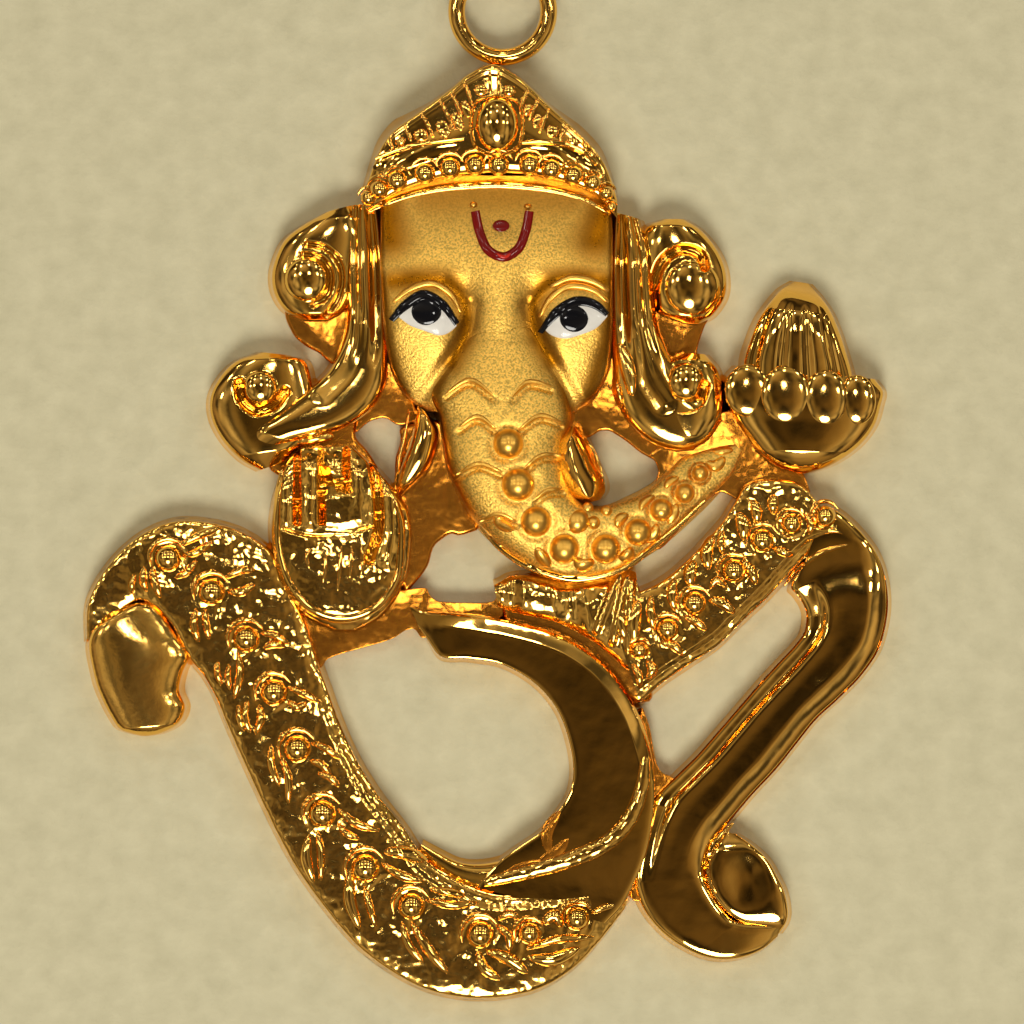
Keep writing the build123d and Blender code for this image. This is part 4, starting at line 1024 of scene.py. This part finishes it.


# a darker reddish orange than the gold: painted shade and painted reflection in the recesses between
# forms
web_painted_shade_gold = gold("web gold painted shade", (0.66, 0.26, 0.03), 0.2, (0.3, 0.004), (0.9, 0.05))
web_corners = {
    "web_left_curls": spots(-25.4, 16.6, -17, 17.2, -16.8, 10.3, -19.7, 11.1, -21, 12.1, -22.6, 12.7,
                            -24.1, 13.6, -25.2, 15.3),
    "web_right_curls": spots(20, 17.4, 28.9, 17, 26.9, 15.1, 25.7, 12.4, 26.2, 11.3, 20.7, 11.1),
    "web_left_cheek": spots(-15.8, 7.8, -13, 13.2, -9.3, 7.3, -8.6, 5.7, -11.2, 5.1, -12.9, 6,
                            -14.9, 5.6, -16.8, 4.2),
    "web_right_cheek": spots(13.5, 12.8, 18.7, 11.9, 23, 5.3, 22.2, 1.1, 20.6, 1.8, 18.7, 2.6, 17, 3.7,
                             15, 4.7, 13.8, 4.7, 12.4, 4, 8.8, 3.8, 9.6, 7.8),
    "web_left_ear": spots(-28.8, 2.8, -23.5, 6.9, -15.8, 8, -16.8, 4.2, -14.9, 2.7, -12.9, 0, -26.2, 0),
    "web_left_trunk": spots(-11.2, 5.1, -5.3, 6.1, -0.6, -4.6, -3.6, -5.4, -4.8, -5.1, -6.9, -6.3,
                            -7.6, -8.5, -11, -11.5, -11.8, 1.7, -10.9, 3.7),
    "web_treat": spots(19.5, 2.4, 23.2, 4.2, 30.5, 7.3, 39.1, 0.7, 40.1, -1.9, 31.8, -2.7, 30.3, -1.7,
                       28.5, -1, 24.9, -3.7, 20.6, -7.3, 18.7, -3.9, 21.1, 0.7, 20.6, 1.8),
    "web_hand": spots(-25.2, -15.3, -23.2, -11.3, -11.8, -10.7, -7.8, -10.2, -7.3, -11.1, -6.3, -11.7,
                      0.6, -11.8, 1.2, -10.7, 2, -13.4, -6.1, -14.4, -8.3, -15.3, -9.2, -14.2,
                      -10.4, -14.4, -12, -15.3, -20, -17, -20.7, -18, -22.2, -18.8),
    "web_neck": spots(1.1, -9, 8.8, -9, 17.2, -7.7, 19, -10.9, 20.7, -21.1, 18, -21.5, 12.8, -18.4,
                      7.6, -16.3, 2.1, -14.8),
    "web_fold": spots(18.7, -21.1, 20, -23.7, 20.5, -26.6, 21.3, -28, 23, -28.5, 26.2, -30.3,
                      26.2, -36.4, 19.5, -40.4, 17.2, -40.2, 18.2, -30.7),
}
# no two webs are quite as high, so that their tops never fall together where they overlap
for index, (web_name, corners) in enumerate(web_corners.items()):
    plate(web_name, corners, 22 + 0.3 * index)

# the scuffed patch at the arc's lower end, which the polishing wheel missed; its darker orange is
# painted shade
scuff_and_shade_leaves = ((8.8, -31.6, 7.2, -33.7, 7.6, -36, 1.5), (9.8, -34.3, 8.3, -35.6, 6.1, -36.5, 1.5),
          (1.9, -37.6, 4.6, -37, 7.8, -36.5, 1.5))
leaf_piece("arc_scuff_and_shade", web_painted_shade_gold, scuff_and_shade_leaves, 0.04, tops(arc), blunt=0.05, along=40, around=24)


# The eyes: white and black enamel, fired into shallow beds in the face, with a black lash line over
# each. Raised gold lids stand round them.
def mottle(tree, noise, colours, strength, depth):
    """Two colours that blend by a soft noise, which also lifts the surface, to a depth in mm."""
    place = add_node(tree, "TexCoord").outputs["Object"]
    spread = add_node(tree, "TexNoise", {**noise, "Vector": place}).outputs["Fac"]
    tone = add_node(tree, "Mix", {"A": (*colours[0], 1), "B": (*colours[1], 1), "Factor": spread},
                    data_type="RGBA")
    bump = add_node(tree, "Bump", {"Strength": strength, "Distance": depth * mm, "Height": spread})
    feed(tree, tree.nodes["Principled BSDF"],
         {"Base Color": tone.outputs["Result"], "Normal": bump.outputs["Normal"]})


def enamel(name, colour, roughness):
    """Glossy opaque enamel, a touch uneven where it pooled as it was fired."""
    material, tree, shader = new_material(name)
    feed(tree, shader, {"Roughness": roughness, "Specular IOR Level": 0.3, "Coat Weight": 0.1,
                        "Coat Roughness": 0.05})
    mottle(tree, {"Scale": 1 / (0.7 * mm)}, (colour, [part * 0.75 for part in colour]), 0.6, 0.01)
    return material


def add_inlay(bm, edges, proud, on):
    """A thin domed pool of enamel between two edges, let into the metal."""
    table = pairs(edges)

    def where(u, v):
        line = flow(table, u)
        turn = 2 * math.pi * v
        near, far = line[:, :2], line[:, 2:]
        place = (near + far) / 2 + (far - near) / 2 * np.cos(turn)[:, None]
        lift = np.sin(turn)
        thickness = np.where(lift > 0, proud * np.abs(lift) ** 0.6, -0.08)
        return np.column_stack([place, on(place) + thickness * mm])

    add_shell(bm, 40, 28, where)


def oval(across, up, width, length):
    """The rows of edges of an oval pool."""
    rows = []
    for turn in np.radians(np.linspace(4, 176, 15)):
        start = across - width / 2 * math.cos(turn)
        rise = length / 2 * math.sin(turn) * size.x / size.y
        rows.append((start, up + rise, start, up - rise))
    return rows


white_enamel = enamel("white enamel", (0.82, 0.80, 0.74), 0.2)
black_enamel = enamel("black enamel", (0.006, 0.006, 0.008), 0.07)
face_top = tops(face, trunk)
left_white = [
    (-11.2, 15.8, -11.2, 15.5), (-10.1, 16.5, -9.8, 14.7), (-8.1, 17.2, -7.8, 14.1),
    (-6, 16.5, -6, 13.7), (-4.6, 15.5, -4.7, 14.1), (-4, 14.9, -4, 14.6),
]
right_white = [
    (6.8, 14.6, 6.8, 14.3), (7.9, 15.7, 7.8, 13.7), (9.4, 16.5, 9.3, 13.4), (11.4, 16.9, 11.5, 13.8),
    (13.4, 16.4, 13.4, 14.5), (14.6, 15.7, 14.6, 15.5),
]
left_lash = [
    (-12.4, 15.3, -11.7, 15), (-10.5, 17.1, -9.9, 16.2), (-8.1, 18.1, -8.1, 17),
    (-5.6, 17.2, -6.1, 16.3), (-3.6, 15, -4.3, 14.6),
]
right_lash = [
    (6, 14.1, 6.6, 13.9), (8.1, 16.4, 8.7, 15.4), (11.3, 17.5, 11.3, 16.5), (13.5, 17, 13, 16.2),
    (14.9, 15.9, 14.3, 15.5),
]
for side, white_edges, lash_edges, pupil in (
        ("left", left_white, left_lash, oval(-7.7, 16, 3.7, 3.7)),
        ("right", right_white, right_lash, oval(10.5, 15.3, 3.5, 3.5))):
    bm = bmesh.new()
    add_inlay(bm, white_edges, 0.1, face_top)
    finished(f"eye_white_{side}", bm, white_enamel, node=f"eye_white_{side}")
    bm = bmesh.new()
    add_inlay(bm, lash_edges, 0.14, face_top)
    add_inlay(bm, pupil, 0.15, face_top)
    finished(f"eye_black_{side}", bm, black_enamel, node=f"eye_black_{side}")
lids = ((-11.9, 16.9, -9.6, 18.2, -7.1, 18.7, -4.6, 17.6, -3.5, 16, 0.9),
        (6.2, 15.5, 7.6, 17.3, 9.8, 18.4, 12.8, 18.1, 14.8, 16.9, 0.9),
        (7.6, 18.4, 10.1, 19.2, 12.8, 18.9, 14.8, 18, 0.9))
leaf_piece("lids", satin_gold, lids, 0.13, face_top, blunt=0.3, along=40)


# The mark on the forehead: a U and a dot in glossy red enamel, fired on the gold like the eyes, with a
# brighter red strip at the U's bottom that is a painted highlight. Two small gold drops stand at its
# tips.
red_enamel = enamel("red enamel", (0.19, 0.003, 0.002), 0.16)
bm = bmesh.new()
add_leaf(bm, spots(-1.7, 25.6, -1.1, 23.5, 0, 21.8, 1.9, 21.2, 3.5, 21.9, 4.5, 23.6, 5, 25.6), 1.2,
         0.09, face_top, blunt=0.9, along=60)
finished("forehead_mark", bm, red_enamel, node="forehead_mark")
# the brighter red at the U's bottom is a painted highlight
red_enamel_painted_highlight = enamel("red enamel painted highlight", (0.62, 0.03, 0.015), 0.16)
bm = bmesh.new()
add_leaf(bm, spots(0.5, 21.7, 1.9, 21.2, 3.2, 21.8), 0.7, 0.11, face_top, blunt=0.3)
finished("forehead_mark_painted_highlight", bm, red_enamel_painted_highlight, node="forehead_mark")
bm = bmesh.new()
add_inlay(bm, oval(1.5, 24.2, 2.1, 1.5), 0.08, face_top)
finished("forehead_dot", bm, red_enamel, node="forehead_dot")
bm = bmesh.new()
add_drop(bm, -1.9, 26.2, 1.1, 0.9, 0.12, face_top)
add_drop(bm, 4.8, 26, 1.1, 0.9, 0.12, face_top)
finished("mark_tips", bm, satin_gold)


# The table that the pendant lies on: a plain pale surface with a short soft nap. The pendant isn't
# fixed to it.
bm = bmesh.new()
bmesh.ops.create_grid(bm, x_segments=1, y_segments=1, size=0.6)
floor_mesh = bpy.data.meshes.new("floor")
bm.to_mesh(floor_mesh)
bm.free()
floor = bpy.data.objects.new("floor", floor_mesh)
bpy.context.scene.collection.objects.link(floor)
nap, tree, shader = new_material("pale nap")
feed(tree, shader, {"Roughness": 0.95})
mottle(tree, {"Scale": 900, "Detail": 4}, ((0.46, 0.43, 0.28), (0.64, 0.60, 0.41)), 0.5, 0.3)
floor_mesh.materials.append(nap)


# Studio light: a dim warm room with lighter patches, a wide bank of small lamps overhead and one
# larger soft lamp in front.
world = bpy.data.worlds.new("room")
bpy.context.scene.world = world
world.use_nodes = True
tree = world.node_tree
place = add_node(tree, "TexCoord").outputs["Generated"]
noise = add_node(tree, "TexNoise", {"Scale": 2.6, "Detail": 1.0, "Vector": place})
patches = add_node(tree, "MapRange", {"From Min": 0.38, "From Max": 0.62, "To Min": 0.15, "To Max": 1.2,
                                      "Value": noise.outputs["Fac"]})
height = add_node(tree, "SeparateXYZ", {"Vector": place}).outputs["Z"]
tone = add_node(tree, "ValToRGB", {"Fac": height})
ramp = tone.color_ramp.elements
ramp[0].color = (0.10, 0.07, 0.04, 1)
ramp[1].color = (0.12, 0.083, 0.042, 1)
for position, colour in ((0.45, (0.26, 0.20, 0.13, 1)), (0.80, (0.50, 0.44, 0.34, 1)),
                         (0.93, (0.26, 0.20, 0.12, 1)), (0.985, (0.13, 0.09, 0.045, 1))):
    ramp.new(position).color = colour
feed(tree, tree.nodes["Background"], {"Color": tone.outputs["Color"],
                                      "Strength": patches.outputs["Result"]})


def lamp(name, place, width, power):
    """A round soft lamp that faces the pendant."""
    light = bpy.data.lights.new(name, "AREA")
    light.shape = "DISK"
    light.size = width
    light.energy = power
    light.color = (1.0, 0.96, 0.88)
    holder = bpy.data.objects.new(name, light)
    holder.location = place
    holder.rotation_euler = Vector(place).to_track_quat("Z", "Y").to_euler()
    bpy.context.scene.collection.objects.link(holder)


lamp_height = 0.5
lamp("soft lamp", (0.0, -0.32, lamp_height), 0.22, 2.3)
for row, (back, spread) in enumerate(((0.09, 0.24), (0.38, 0.30), (0.85, 0.42))):
    for column in range(5):
        lamp(f"small lamp {row} {column}", ((column - 2) * spread, back, lamp_height), 0.05, 0.14)


# The camera looks straight down on the pendant from well above, so that the ring's far side is cut
# by the top edge, as the picture has it.
view_height = 0.45
view_centre = (0.000975, -0.001367)
# the picture is 1024 points wide, and each covers 0.0424 mm of the table
view_width = 1024 * 0.0424 * mm
camera_data = bpy.data.cameras.new("camera")
camera_data.sensor_fit = "HORIZONTAL"
camera_data.angle = 2 * math.atan(view_width / 2 / view_height)
camera = bpy.data.objects.new("camera", camera_data)
camera.location = (*view_centre, view_height)
bpy.context.scene.collection.objects.link(camera)
bpy.context.scene.camera = camera
bpy.context.scene.view_settings.view_transform = "Standard"
